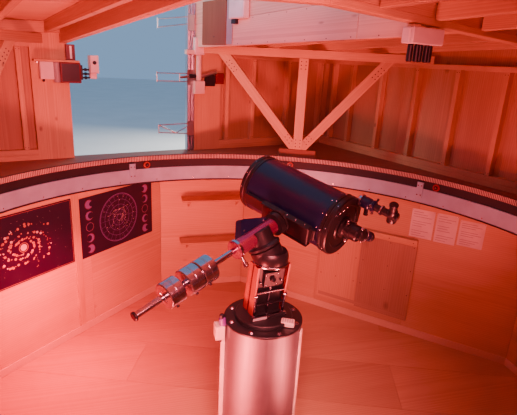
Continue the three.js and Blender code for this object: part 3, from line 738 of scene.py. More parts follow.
def make_top_walls():
    """Framed and boarded walls; each is drawn on the +Y side and turned by quarters."""
    inside = TOP_HALF - GAP
    for name, quarter, x0, x1, studs, corners in (
            ("wall_rear", 0, -OUTER, OUTER, STUD_PLACES, (-1, 1)),
            ("wall_left", 3, -inside, inside, STUD_PLACES, ()),
            ("wall_right", 1, -inside, inside, STUD_PLACES, ()),
            ("wall_front_left", 2, -OUTER, -SLIT_HALF, [-x for x in FRONT_STUDS], (-1,)),
            ("wall_front_right", 2, SLIT_HALF, OUTER, FRONT_STUDS, (1,))):
        piece = top_piece(name + "_frame", "pine sheathing cladding black", "pine")
        wall = turned(90 * quarter)
        framed(piece, wall, x0, x1, studs)
        board_wall(piece, wall, x0, x1)
        if quarter == 2:
            side = corners[0]
            corner_post(piece, wall, side)
            post = sorted((side * (SLIT_HALF - 1), side * (SLIT_HALF + POST_WIDTH)))
            upright_board(piece, wall, *post, (TOP_HALF - 1, TOP_HALF + STUD_DEPTH), LEDGE_TOP + 1, 0)
        for x in studs:
            nails(piece, wall, x)
        if quarter == 0:
            for side in corners:
                corner_post(piece, wall, side)
        piece.make(name)


def make_top_trim():
    """Corner boards and the drip board above the ledge, outside the walls of the top."""
    piece = top_piece("top_trim", "cladding", "pine")
    for quarter in range(4):
        wall = turned(90 * quarter)
        for xs in ((OUTER - 92, OUTER + 18), (-OUTER, -OUTER + 92)):
            upright_board(piece, wall, *xs, (OUTER + 0.5, OUTER + 18), LEDGE_TOP + 34, 0)
        runs = [(-OUTER, OUTER + 22)]
        if quarter == 2:
            runs = [(-OUTER, -SLIT_HALF), (SLIT_HALF, OUTER + 22)]
        for xs in runs:
            piece.block(xs, (OUTER + 0.5, OUTER + 22), (LEDGE_TOP + 1, LEDGE_TOP + 32), X, 4, place=wall)
    piece.make()


def roof_timber(piece, side, x0, x1, y0, y1, along):
    """A joist or edge timber that follows the roof's fall."""
    xs = (side * x0, side * x1)
    piece.block(xs, (y0, y1), (JOIST_BOTTOM, JOIST_TOP - GAP), along, 3, 0, roof_shear)


def make_roof_frame():
    """The main beam with its cap, and the joists on both sides of the slit and behind it."""
    inside = TOP_HALF - GAP
    front, rear = BEAM_FRONT, BEAM_FRONT + BEAM_WIDTH
    beam = top_piece("main_beam_timber", "pine", "pine")
    for side in (1, -1):
        xs = (0.5 * side, inside * side)
        beam.block(xs, (front, rear), (JOIST_BOTTOM - BEAM_DROP, JOIST_BOTTOM + 12), X, 4, 0, roof_shear)
        cap = (JOIST_BOTTOM + 12.5, JOIST_TOP - GAP)
        beam.block(xs, (front + 3, rear - 12), cap, X, 3, 0, roof_shear)
    beam.make("main_beam")
    for name, side in (("joists_left", 1), ("joists_right", -1)):
        piece = top_piece(name + "_timber", "pine", "pine")
        roof_timber(piece, side, SLIT_SIDE, inside, -inside, 60 - inside, X)
        for x in JOIST_PLACES:
            roof_timber(piece, side, x - 24, x + 24, 61 - inside, front - GAP, Y)
        piece.make(name)
    piece = top_piece("joists_rear_timber", "pine", "pine")
    for side in (1, -1):
        roof_timber(piece, side, 0, inside, inside - 60, inside, X)
        for x in (350, *JOIST_PLACES):
            roof_timber(piece, side, x - 24, x + 24, rear + GAP, inside - 61, Y)
    roof_timber(piece, 1, -24, 24, rear + GAP, inside - 61, Y)
    piece.make("joists_rear")


def make_roof_deck():
    """Plywood sheets over the joists, felt in lapped strips on them, and a fascia board."""
    deck = top_piece("deck_sheets", "plywood", "plywood")
    strips = top_piece("deck_felt", "felt", "roof_felt")
    fascia = top_piece("deck_fascia", "cladding", "pine")
    span = OUTER + EAVES
    low, high = JOIST_TOP, JOIST_TOP + DECK_THICK
    rows = (((-span, BEAM_FRONT), SLIT_SIDE, 0), ((BEAM_FRONT, span), 0.0, 0.5))
    edge, fascia_zs = (span - 22, span - 1), (low - FASCIA_DEPTH, low - 1)
    for side in (1, -1):
        for ends, x0, _ in rows:
            for ys in spread(*ends, SHEET_WIDTH, 2):
                deck.block((side * (x0 + 0.5), side * span), ys, (low, high - 7), X, 0.8, 0, roof_shear)
        for (y0, y1), x0, shift in rows:
            for k, (a, b) in enumerate(spread(y0 + shift, y1, FELT_WIDTH, 0)):
                lap, lift = (20, 3.0) if k % 2 else (0, 0.0)
                strips.block((side * (x0 + shift), side * span), (a - lap, b),
                    (high - 6.5, high - 3 + lift), X, 0.8, 0, roof_shear)
        for end, x0 in ((-1, SLIT_SIDE), (1, 1)):
            ys = (end * edge[0], end * edge[1])
            fascia.block((side * x0, side * edge[0]), ys, fascia_zs, X, 3, 0, roof_shear)
        fascia.block((side * edge[0], side * edge[1]), (1 - span, span - 1), fascia_zs, Y, 3, 0, roof_shear)
    deck.make("roof_deck")
    strips.make()
    fascia.make()


def slope_only(p):
    """Tilts what is drawn level along the slit, down to the front."""
    return Vector((p.x, p.y, p.z + RISE * p.y))


def between_slopes(p):
    """Lays a trimmer board, drawn from z 0 to 1000, between the trimmer's lower and upper edge."""
    bottom, rise = TRIMMER_BOTTOM_RIGHT, TRIMMER_RISE_RIGHT
    if p.x > 0:
        bottom, rise = TRIMMER_BOTTOM_LEFT, TRIMMER_RISE_LEFT
    low, high = bottom + rise * p.y, TRIMMER_TOP + RISE * p.y
    return Vector((p.x, p.y, low + (high - low) * p.z / 1000))


def make_coaming():
    """The deep trimmers, faced with plywood and capped with metal, and the board at the rear."""
    piece = top_piece("slit_coaming_boards", "trimmer pine galvanised", "plywood")
    whole = (-OUTER, COAMING_END)
    for side in (1, -1):
        lip, face, back, core = (side * (SLIT_HALF + depth) for depth in (-3, 0, 18, 18.5))
        outer = side * (SLIT_HALF + TRIMMER_THICK)
        for ys in ((-OUTER, -70), (-68, COAMING_END)):
            for zs in ((0, 470), (473, 995)):
                piece.block((face, back), ys, zs, Y, 2, 0, between_slopes)
        piece.block((core, outer), whole, (0, 995), Y, 3, 1, between_slopes)
        piece.block((lip, outer), whole, (995.5, 1000), Y, 1, 2, between_slopes)
    piece.block((1 - SLIT_HALF, SLIT_HALF - 1), (SLIT_END, COAMING_END), (TRIMMER_TOP - 390, TRIMMER_TOP),
        X, 3, 1, slope_only)
    piece.make("slit_coaming")


def make_trusses():
    """A post and two braces between a short sole and a tie, nailed where they meet."""
    x0, x1 = TRUSS_R - 30, TRUSS_R + 30
    foot, low = SOLE_TOP + 0.5, TIE_TOP - TIE_DEPTH
    half, edge = TRUSS_WIDTH / 2, TOP_HALF - GAP
    for k in range(2):
        angle = -135 + TRUSS_TURN + 90 * k
        piece = top_piece(f"truss_timber_{k + 1}", "pine black brown", "pine", TOP @ turned(angle))
        east = -SLIT_HALF - 2 if k == 0 else edge
        room = [turned(-angle) @ Vector((x, y, 0)) for x, y in rect(-edge, east, -edge, edge)]
        room = [(p.x, p.y) for p in room]
        piece.prism(clipped(rect(x0, x1, -2000, 2000), room), low, TIE_TOP, Y)
        # The short sole is pine drawn dark brown: painted shade at the truss's foot.
        piece.block((x0, x1), (-200, 200), (LEDGE_TOP + GAP, SOLE_TOP), Y, 3, 2)
        piece.block((x0 + 1, x1 - 1), (-half, half), (foot, low - 0.5), Z, 3)
        for side in (-1, 1):
            start, end = Vector((45, SOLE_TOP + 20)), Vector((865, TIE_TOP - 45))
            run = (end - start).normalized()
            across = Vector((-run.y, run.x)) * half
            start, end = start - run * 200, end + run * 200
            brace = [start - across, end - across, end + across, start + across]
            brace = clipped([tuple(p) for p in brace], rect(half + 0.5, 1400, foot, low - 0.5))
            outline = [(side * y, z) for y, z in brace][::side]
            axes = Matrix.Rotation(-math.atan2(run.y, side * run.x), 3, "X")
            piece.prism(outline, x0 + 2, x1 - 2, Y, 0, place=UPRIGHT_PLAN, axes=axes)
            heads = [(776 - 26 * row + 30 * line, low - 60 - 30 * row - 18 * line)
                     for row in range(4) for line in range(2)]
            heads += [(92 + 24 * row - 26 * line, foot + 62 + 32 * row + 26 * line)
                      for row in range(3) for line in range(2)]
            for y, z in heads:
                piece.pin((x0 + 2.5, side * y, z), X, -1.7, 6, 8, 1)
        for z in (low - 34, low - 70, low - 106, foot + 30, foot + 66, foot + 102):
            for y in (-24, 24):
                piece.pin((x0 + 1.5, y, z), X, -1.9, 6, 8, 1)
        piece.make(f"corner_truss_{k + 1}")


# Small fittings of the ring
def make_ring_fittings():
    """Curtain and lip of the track ring, the roller hubs with their caps, and the toothed belt."""
    piece = room_piece("ring_fittings", "rubber red black bright", "band_metal")
    for limits in ((RING_R + 12, RING_R + 16, BAND_TOP + 0.5, BAND_TOP + 74),
            (RING_R - 3, RING_R + 11, BAND_BOTTOM - 14, BAND_BOTTOM - 0.5)):
        piece.lathe(rect(*limits), 128, 0)
    for k in range(ROLLER_COUNT):
        place = turned(ROLLER_FIRST - 360 / ROLLER_COUNT * k)
        out = [place @ Vector((RING_R + r, 0, ROLLER_AXLE)) for r in (12, -4, -9, -15)]
        for a, b, *form in ((out[0], out[1], 34, 28, 1, 4), (out[1], out[2], 20, 24, 2, 2),
                (out[2], out[3], 9, 6, 3, 1.5)):
            piece.rod(a, b, *form)
        for y in (-17, 17):
            for z in (BAND_BOTTOM + 75, BAND_TOP + 30):
                piece.pin((RING_R - 12, y, z), X, -4, 6.5, 6, 3, 1, place @ turned(4))
    piece.pins_round(36, 5, ((RING_R, 0, BAND_BOTTOM + 20), X, -3, 6, 12, 3, 1))
    piece.make()
    belt = top_piece("belt_teeth", "belt", "belt_metal", HERE)
    tooth = box_points(RING_R - 10, RING_R - 4.8, -4.2, 4.2, BELT_BOTTOM, BELT_TOP)
    for k in range(BELT_TEETH):
        belt.solid([turned(360 / BELT_TEETH * k) @ p for p in tooth], BOX_FACES, Z)
    belt.make()


def square_reach(angle):
    """The distance to the top's square outline at each angle."""
    a = math.radians(angle)
    return OUTER / max(abs(math.cos(a)), abs(math.sin(a)))


def room_reach(spare):
    """The distance to the room's outline, spare outside its inner faces, at each angle."""
    def reach(angle):
        shares = [math.cos(math.radians(angle - 45 * i)) for i in range(8)]
        return min(wall_distance(i, spare) / share for i, share in enumerate(shares) if share > 0.1)
    return reach


def make_ledge():
    """The ledge inside the top's walls, with its skirt of upright boards."""
    piece = top_piece("ledge_boards", "stained cladding rubber", "plywood")
    # The deck's dark plywood is painted shade on the ledge under the walls.
    piece.ring_plate(RING_R + 7 + GAP, square_reach, (45, 135, 225, 315), LEDGE_BOTTOM + GAP, LEDGE_TOP)
    for quarter in range(4):
        for xs in spread(-OUTER + 26, OUTER, BOARD_PITCH, 3):
            piece.block(xs, (OUTER - BOARD_THICK, OUTER), (BAND_TOP + 17, LEDGE_BOTTOM - 1), Z, 3, 1,
                place=turned(90 * quarter))
    piece.lathe(rect(CURB_HOLE, CURB_HOLE + 4, BAND_TOP + 30, LEDGE_BOTTOM - 0.5), 128, 2)
    piece.make("ledge_deck")


def make_curb_cover():
    """Roofing felt on the curb outside the ring, with a metal edge strip."""
    piece = room_piece("curb_cover", "felt galvanised", "roof_felt")
    spare = WALL_THICK + 27
    corners = []
    for i in range(8):
        half = math.degrees(math.atan2(wall_half(i, spare), wall_distance(i, spare)))
        corners += [45 * i + half, 45 * i - half]
    piece.ring_plate(CURB_HOLE, room_reach(spare), corners, CURB_TOP + 0.3, CURB_TOP + 3.5)
    for i in range(8):
        half, face = wall_half(i, spare), wall_distance(i, spare)
        piece.block((face - 1.5, face), (-half, half), (CURB_TOP - 42, CURB_TOP), Y, 0.6, 1,
            place=turned(45 * i))
    piece.make()


# Fittings of the room
def flat_line(piece, x, start, end, width, skin):
    """A thin printed line on a wall sheet whose face is at x; points are (y, z)."""
    place, length = along_bar((x, *start), (x, *end), (1, 0, 0))
    line = box_points(-0.5, 0, -width / 2, width / 2, 0, length)
    piece.solid([place @ p for p in line], BOX_FACES, Z, skin)


def flat_disc(piece, x, y, z, radius, skin, segments):
    piece.rod((x, y, z), (x - 0.6, y, z), radius, segments, skin)


def flat_ring(piece, x, y, z, radius, width, skin):
    place = along_bar((x, y, z), (x - 1, y, z), (0, 1, 0))[0]
    piece.lathe(rect(radius - width, radius, 0, 0.6), 72, skin, place)


CHART_SKINS = "night rose_print pale_print violet_print pine bright"


def make_spiral_chart(stars):
    """A printed sky sheet of a general kind: a spiral of stars."""
    face = LONG_WALL - GAP
    x = face - 5
    chart = room_piece("chart_spiral", CHART_SKINS, "chart_board", turned(315))
    chart.block((x, face), (-316, 600), (1000, 1640), Y, 1, 0)

    # The bright centre, three arms of stars, loose stars and the printed border
    cy, cz = 190, 1318
    flat_disc(chart, x, cy, cz, 30, 2, 40)
    flat_ring(chart, x, cy, cz, 44, 5, 1)
    for arm in range(3):
        for k in range(64):
            t = 0.25 + k * 0.045
            a = 2.1 * t + arm * 2.094 + stars.uniform(-0.16, 0.16)
            r = 62 * math.exp(0.46 * t) * stars.uniform(0.93, 1.07)
            y, z = cy + 1.25 * r * math.cos(a), cz + 0.86 * r * math.sin(a)
            if -296 < y < 580 and 1020 < z < 1620:
                flat_disc(chart, x, y, z, stars.choice((3, 4.5, 7, 12)), stars.choice((1, 1, 2)), 12)
    for k in range(70):
        y, z, radius = stars.uniform(-300, 585), stars.uniform(1015, 1625), stars.uniform(1, 2.4)
        flat_disc(chart, x, y, z, radius, 2, 6)
    corners = rect(-304, 588, 1012, 1628)
    for a, b in zip(corners, corners[1:] + corners[:1]):
        flat_line(chart, x, a, b, 3, 1)
    chart.make("wall_chart_left")


def make_dial_chart(stars):
    """A printed sky sheet of a general kind: a dial with side discs."""
    face = LONG_WALL - GAP
    x = face - 5
    chart = room_piece("chart_dial", CHART_SKINS, "chart_board", turned(315))
    chart.block((x, face), (-1401, -405), (990, 1610), Y, 1, 0)
    cy, cz = -903, 1300

    def on_dial(r, a):
        return cy + r * math.cos(a), cz + r * math.sin(a)

    # Circles and spokes, then stars joined by lines, then a row of discs on each side
    for radius, width in ((262, 6), (250, 2), (196, 3), (142, 3), (88, 3), (34, 4)):
        flat_ring(chart, x, cy, cz, radius, width, 3)
    for k in range(24):
        a = math.pi / 12 * k
        flat_line(chart, x, on_dial(196 if k % 2 else 34, a), on_dial(250, a), 1.6, 3)
    last = None
    for k in range(60):
        point = on_dial(stars.uniform(40, 240), stars.uniform(0, 2 * math.pi))
        flat_disc(chart, x - 0.2, *point, stars.uniform(2, 5), 2, 10)
        if last and k % 5 and math.dist(point, last) < 130:
            flat_line(chart, x - 0.2, last, point, 1.4, 2)
        last = point
    for side in (-1, 1):
        for k in range(5):
            y, z = cy + side * 385, cz + 232 - 116 * k
            flat_disc(chart, x, y, z, 42, 3, 36)
            flat_disc(chart, x - 0.3, y + side * (k - 2) * 16, z, 40 - 7 * abs(k - 2), 0, 36)
            flat_ring(chart, x, y, z, 47, 2, 1)
    chart.make("wall_chart_right")


def make_notices(stars):
    """A batten between the charts, and three paper sheets with plain grey lines."""
    face = LONG_WALL - GAP
    piece = room_piece("wall_sheets", "sheet grey pine bright", "chart_board")
    batten = (FLOOR_TOP + 80, WALL_TOP - 2)
    piece.block((face - 13, face - 0.5), (-400, -322), batten, Z, 2, 2, place=turned(315))
    wall = turned(225)
    for y0, y1, z0, z1 in ((-674, -452, 1313, 1611), (-893, -694, 1309, 1609), (-1140, -912, 1325, 1583)):
        piece.block((face - 1, face), (y0, y1), (z0, z1), Y, 0.3, 0, place=wall)
        for k in (0, 1, 2, 4, 5, 6, 8, 9, 10):
            z = z1 - 28 - (z1 - z0 - 50) * k / 10
            ys = (y1 - 18 - (y1 - y0 - 36) * stars.uniform(0.45, 1.0), y1 - 18)
            piece.block((face - 1.3, face - 0.9), ys, (z - 2.2, z + 2.2), Y, 0.1, 1, place=wall)
        for y in (y0 + 8, y1 - 8):
            piece.pin((face - 0.9, y, z1 - 8), X, -3.1, 3.5, 10, 3, 1, place=wall)
    piece.make()


def make_sheets_on_walls():
    """The charts and notices share one row of random draws."""
    stars = random.Random(5)
    make_spiral_chart(stars)
    make_dial_chart(stars)
    make_notices(stars)


def make_hatch():
    """Two panels side by side with screws, a batten over them and a rail near their foot."""
    face = LONG_WALL - GAP
    piece = room_piece("hatch_boards", "hatch pine black plywood", "plywood", turned(225))
    for ys, skin in (((-560, 19), 0), ((21, 480), 3)):
        piece.block((face - 18, face), ys, (350, 1218), Z, 1.5, skin)
    piece.block((face - 40, face), (-560, 20), (1220, 1285), Y, 3, 1)
    piece.block((face - 22, face - 18.3), (-540, 460), (372, 412), Y, 1, 0)
    screws = [(face - 18, y, z) for y in (-530, -290, -20, 60, 270, 450) for z in (375, 650, 930, 1195)]
    for place in screws + [(face - 40, y, 1252) for y in (-520, -270, -20)]:
        piece.pin(place, X, -1.2, 5, 8, 2)
    piece.make("hatch_panel")


def make_shelves():
    """Two boards, each on two wooden brackets with a strut."""
    for name, x0, x1, z in (("shelf_upper", -500, 262, 1375), ("shelf_lower", -500, 283, 850)):
        piece = room_piece(name + "_board", "pine plywood", "pine", moved(0, GAP - SHORT_WALL, z))
        piece.block((x0, x1), (0, 200), (-18, 0), X, 2, 0)
        for x in (x0 + 90, x1 - 90):
            piece.block((x - 11, x + 11), (0, 150), (-45, -18.5), Y, 1.5, 1)
            piece.block((x - 11, x + 11), (0, 20), (-130, -45.5), Z, 1.5, 1)
            place, length = along_bar((x, 14, -120), (x, 132, -40), (1, 0, 0))
            piece.solid([place @ p for p in box_points(-10, 10, -9, 9, 0, length)], BOX_FACES, Y, 1)
        piece.make(name)


def make_door():
    """Frame, threshold and a boarded leaf with ledges, strap hinges and a handle on both faces."""
    wall = turned(45 * DOOR_WALL) @ moved(wall_distance(DOOR_WALL), 0, 0)
    outer, inner = DOOR_HALF - GAP, DOOR_HALF - GAP - 40
    casing = room_piece("door_casing", "pine galvanised", "pine", wall)
    xs = (-15, WALL_THICK + 15)
    for side in (-1, 1):
        casing.block(xs, (side * inner, side * outer), (FLOOR_TOP + GAP, DOOR_TOP - 46), Z, 3)
        stop = (side * (inner - 14), side * (inner + 1))
        casing.block((40, 57), stop, (FLOOR_TOP + 20, DOOR_TOP - 60), Z, 2)
    casing.block(xs, (-outer, outer), (DOOR_TOP - 45, DOOR_TOP - GAP), Y, 3)
    threshold = (FLOOR_TOP + 0.5, FLOOR_TOP + 7)
    casing.block((20, WALL_THICK + 10), (1 - inner, inner - 1), threshold, Y, 1, 1)
    casing.make("door_frame")
    leaf = room_piece("door_planks", "cladding pine galvanised bright", "plywood", wall)
    y0, y1 = GAP - inner, inner - 3
    low, high = FLOOR_TOP + 10, DOOR_TOP - 48
    for ys in spread(y0, y1, 118, 2.5):
        leaf.block((78, 100), ys, (low, high), Z, 2.5, 0)
    for z in (low + 120, (low + high) / 2, high - 120):
        leaf.block((60, 77.5), (y0 + 8, y1 - 8), (z - 45, z + 45), Y, 3, 1)
    for z in (low + 120, high - 120):
        leaf.block((100.3, 104), (y0 + 4, y0 + 430), (z - 18, z + 18), Y, 1.5, 2)
        leaf.pin((108, y0 - 2, z - 40), Z, 80, 7, 16, 2, 2)
        for k in range(4):
            leaf.pin((104, y0 + 60 + 110 * k, z), X, 2.5, 8, 12, 2, 1.5)
    for x0, x1, x, out in ((56.5, 59.8, 56.5, -1), (100.3, 103.5, 103.5, 1)):
        leaf.block((x0, x1), (y1 - 78, y1 - 34), (HANDLE_HEIGHT - 130, HANDLE_HEIGHT + 60), Z, 1.5, 3)
        leaf.pin((x, y1 - 56, HANDLE_HEIGHT), X, out * 42, 8, 16, 3, 1)
        leaf.pin((x + out * 38, y1 - 48, HANDLE_HEIGHT), Y, -120, 8, 16, 3, 2)
        leaf.pin((x, y1 - 56, HANDLE_HEIGHT - 75), X, out * 4, 11, 16, 3, 1)
    leaf.make("door_leaf")


# Lids and shutters of the slit
def section(piece, side, outline, ys, along, skin):
    """An outline of (x, z) points on one side of the slit, run along Y and tilted with the roof."""
    points = [(side * x, z) for x, z in outline]
    if sum(a[0] * b[1] - b[0] * a[1] for a, b in zip(points, points[1:] + points[:1])) > 0:
        points = points[::-1]
    lay = Matrix(((1, 0, 0, 0), (0, 0, 1, 0), (0, 1, 0, 0), (0, 0, 0, 1)))
    piece.prism(points, *ys, along, skin, slope_only, lay)


def make_lids():
    """Each lid lies open on its back: the ribs that carry its outer sheet look upwards."""
    hinge, rim = SLIT_SIDE, SLIT_SIDE + LID_WIDTH
    drop = JOIST_TOP + DECK_THICK + GAP - RISE * rim
    a, b = Vector((hinge + 40, TRIMMER_TOP)), Vector((rim, drop + 60))
    normal = Vector((a.y - b.y, b.x - a.x)).normalized()

    def strip(t0, t1, h0, h1):
        """A bar across the lid's slope, between two shares of it and two depths under its face."""
        low, high = normal * h0, normal * h1
        p, q = a.lerp(b, t0), a.lerp(b, t1)
        return [tuple(p + low), tuple(q + low), tuple(q + high), tuple(p + high)]

    ends = (SLIT_END - LID_LENGTH, SLIT_END)
    hinge_board = [(hinge, TRIMMER_TOP - 60), (hinge + 40, TRIMMER_TOP - 38),
        (hinge + 39.5, TRIMMER_TOP), (hinge, TRIMMER_TOP)]
    rim_board = [(rim - 18, drop + 0.8), (rim, drop), (rim, drop + 60), (rim - 18, drop + 66)]
    strap = [(hinge - 34, TRIMMER_TOP + 5.5), (hinge + 42, TRIMMER_TOP + 1), (hinge + 42, TRIMMER_TOP + 5),
        (hinge - 34, TRIMMER_TOP + 9.5)]
    ribs = [(y - 22, y + 22) for y in range(-2478, 300, 459)] + [(256, 300)]
    for name, side in (("slit_lid_left", 1), ("slit_lid_right", -1)):
        piece = top_piece(name + "_boards", "plywood pine galvanised felt", "plywood")
        section(piece, side, strip(0, 0.985, -38, -33), ends, X, 3)
        for ys in spread(*ends, SHEET_WIDTH, 2):
            section(piece, side, strip(0.002, 0.983, -32.5, -22), ys, X, 0)
        for share in ((0.0, 0.06), (0.47, 0.52), (0.92, 0.975)):
            section(piece, side, strip(*share, -21.5, 0), ends, Y, 1)
        for ys in ribs:
            for share in ((0.062, 0.468), (0.522, 0.918)):
                section(piece, side, strip(*share, -21.5, -1.5), ys, X, 1)
        section(piece, side, hinge_board, ends, Y, 1)
        section(piece, side, rim_board, ends, Y, 1)
        for y in range(-2300, 200, 560):
            section(piece, side, strap, (y - 40, y + 40), X, 2)
            start, end = (slope_only(Vector((side * (hinge - 2), y + reach, TRIMMER_TOP + 8)))
                for reach in (-44, 44))
            piece.rod(start, end, 6, 14, 2, 1)
        piece.make(name)


def make_shutters():
    """Boarded shutters on two ledges, folded against the front wall on strap hinges."""
    back = -OUTER - 12
    for name, side in (("wall_shutter_left", 1), ("wall_shutter_right", -1)):
        piece = top_piece(name + "_boards", "cladding pine galvanised", "plywood")
        x0, x1 = SLIT_HALF + 15, SLIT_HALF + 15 + SHUTTER_WIDTH
        height = (SHUTTER_BOTTOM, SHUTTER_TOP)
        for a, b in spread(x0, x1, 125, 3):
            piece.block((side * a, side * b), (back - 28, back - 4.5), height, Z, 3, 0)
        for z in (SHUTTER_BOTTOM + 145, SHUTTER_TOP - 150):
            piece.block((side * x0, side * x1), (back - 4, -OUTER - GAP), (z - 30, z + 30), X, 2, 1)
            strap = (side * (x0 - 6), side * (x0 + 380))
            piece.block(strap, (back - 32, back - 28.3), (z - 16, z + 16), X, 1.5, 2)
            piece.pin((side * (x0 - 10), back - 30, z - 36), Z, 72, 7, 16, 2, 2)
            for k in range(4):
                piece.pin((side * (x0 + 50 + 95 * k), back - 32, z), Y, -2.5, 7, 12, 2, 1.5)
        middle = side * (x1 - 60)
        piece.pin((middle, back - 40, 2300), Z, 260, 7, 16, 2, 1)
        for z in (2330, 2530):
            piece.block((middle - 18, middle + 18), (back - 50, back - 28.3), (z - 14, z + 14), X, 3, 2)
        piece.make(name)


# Telescope and mount
def scope_piece(name, materials, slot, place=TUBE):
    return Piece(name, "dec_axis", place, materials, slot)


def make_telescope():
    """Tube, rear cell and front ring with their screws, around the CAD tube's own places."""
    r, bore = TUBE_R, TUBE_R - 9
    piece = scope_piece("telescope_body", "tube black bright", "tube_paint")
    piece.lathe(rect(bore, r - 2, -258, 343), 128, 0)
    piece.lathe([(bore, 343.5), (r + 2, 343.5), (r + 2, 352), (r - 1, 356), (r - 1, 372), (r + 2, 376),
        (r + 2, 400), (r - 2, 404), (bore + 2, 404), (bore, 398)], 128, 1)
    piece.lathe([(0.5, -308), (bore, -308), (bore, -258.5), (r - 4, -258.5), (r + 6, -264), (r + 6, -279),
        (r + 1, -282), (r + 1, -288), (r + 6, -291), (r + 6, -314), (r - 2, -322), (150, -322), (142, -316),
        (92, -316), (86, -322), (0.5, -322)], 128, 1)
    for z, radius, count in ((390, r + 2, 12), (-271, r + 6, 12), (-303, r + 6, 8), (-240, r - 2, 12)):
        piece.pins_round(count, 180 / count, ((radius - 1, 0, z), X, 3.5, 4.5, 12, 2, 1))
    piece.block((224 + GAP - TUBE_OFFSET, 6 - r), (-40, 40), (-250, 330), Z, 3, 1)
    for k in range(4):
        piece.pin((40 * k - 120, -150, -322), Z, -8, 6, 12, 2, 2)
    piece.make("telescope_tube")


def make_corrector():
    """The lens in its rim, with the round holder of the secondary mirror in the middle."""
    bore = TUBE_R - 9 - GAP
    piece = scope_piece("corrector_lens", "lens black bright", "corrector_glass")
    piece.lathe(rect(62, bore - 6, 352, 360), 96, 0)
    piece.lathe(rect(bore - 6, bore, 350, 363), 96, 1)
    piece.lathe([(0.5, 346), (61, 346), (64, 352), (64, 374), (58, 386), (0.5, 386)], 64, 1)
    piece.pins_round(3, 0, ((34, 0, 385), Z, 4, 6, 12, 2, 1))
    piece.make("corrector_plate")


def make_saddle():
    """The dovetail clamp under the tube: a deep block with pierced side plates and knobs."""
    piece = scope_piece("saddle_clamp", "clamp black bright", "dark_alloy", SCOPE)
    piece.pin((176, 0, 0), X, 30, 80, 48, 1, 3)
    piece.block((186, 222), (-60, 60), (-228, 148), Z, 5, 0)
    for side in (-1, 1):
        piece.block((178, 224), (side * 61, side * 70), (-230, 150), Z, 3, 0)
        for x in (190, 208):
            for z in range(130, 19, -22):
                piece.pin((x, side * 69.5, z), Y, side * 1.5, 5, 12, 1)
        for z in (-190, -120, -50, 20):
            piece.pin((201, side * 70, z), Y, side * 4, 6, 12, 2, 1.5)
    piece.make("dec_saddle")


def make_eyepiece_end():
    """Focuser, diagonal and eyepiece behind the rear cell."""
    piece = scope_piece("focuser_parts", "black bright lens clamp tube", "dark_alloy", SCOPE)
    at = moved(TUBE_OFFSET, 0, 0)
    piece.lathe([(1, -322.5), (66, -322.5), (70, -328), (70, -340), (58, -344), (52, -350), (52, -372),
        (57, -374), (57, -388), (52, -390), (52, -432), (46, -440), (1, -440)], 64, 0, at)
    piece.pins_round(24, 0, ((56, 0, -381), X, 3.5, 3, 6, 0), place=at)
    for row in (((0, 0, -418), (64, 40, -432), 40, 40, 0, 5),
            ((62, 39, -431.6), (76, 47.5, -434.6), 44, 40, 1, 4),
            ((75, 47, -434.4), (112, 70, -442.5), 36, 40, 4, 4),
            ((111, 69.5, -442.3), (126, 79, -445.6), 30, 40, 1, 2),
            ((125, 78.5, -445.3), (150, 94, -450.8), 33, 40, 0, 6)):
        piece.rod(*row, place=at)
    for side in (-1, 1):
        piece.pin((-20, side * 48, -360), Y, side * 28, 15, 24, 0, 4, at)
        piece.pin((-20, side * 76, -360), Y, side * 8, 11, 24, 1, 2, at)
    piece.rod((50, 78, -432), (54, 92, -433), 8, 16, 1, 2, at)
    piece.pin((20, -40, -438), Z, -14, 8, 16, 1, 2, at)
    piece.make("eyepiece_end")


def make_finder():
    """The small straight scope on the rear cell, with its ring foot and angled eyepiece."""
    place = TUBE @ moved(150, -135, 0)
    piece = scope_piece("finder_parts", "black bright tube clamp lens", "dark_alloy", place)
    piece.lathe([(1, -322.5), (40, -322.5), (44, -327), (44, -340), (38, -344), (1, -344)], 40, 1)
    piece.lathe([(1, -344.5), (34, -344.5), (38, -350), (38, -398), (33, -404), (33, -412), (38, -416),
        (38, -428), (30, -434), (1, -434)], 48, 2)
    piece.lathe([(1, -434.5), (24, -434.5), (24, -470), (30, -472), (30, -488), (24, -492), (24, -530),
        (1, -530)], 40, 0)
    piece.lathe([(30.5, -476), (33, -476), (33, -484), (30.5, -484)], 40, 1)
    piece.rod((8, 52, -552), (-6, -40, -552), 30, 36, 0, 5)
    piece.rod((-5.5, -38, -552), (-12, -74, -552), 24, 32, 3, 3)
    piece.rod((-12, -73, -552), (-15, -92, -552), 28, 32, 0, 5)
    piece.pin((0, 0, -530), Z, -60, 30, 32, 0, 6)
    piece.pin((0, 0, -589), Z, -5, 18, 24, 1, 2)
    for x, y in ((0, 1), (0.87, -0.5), (-0.87, -0.5)):
        piece.rod((36 * x, 36 * y, -422), (54 * x, 54 * y, -422), 7, 16, 0, 2)
        piece.rod((53 * x, 53 * y, -422), (60 * x, 60 * y, -422), 9, 16, 1, 2)
    piece.rod((-10, 30, -384), (-16, 66, -388), 13, 20, 0, 4)
    piece.rod((-16, 65, -388), (-18, 76, -389), 16, 20, 3, 3)
    piece.make("finder_scope")


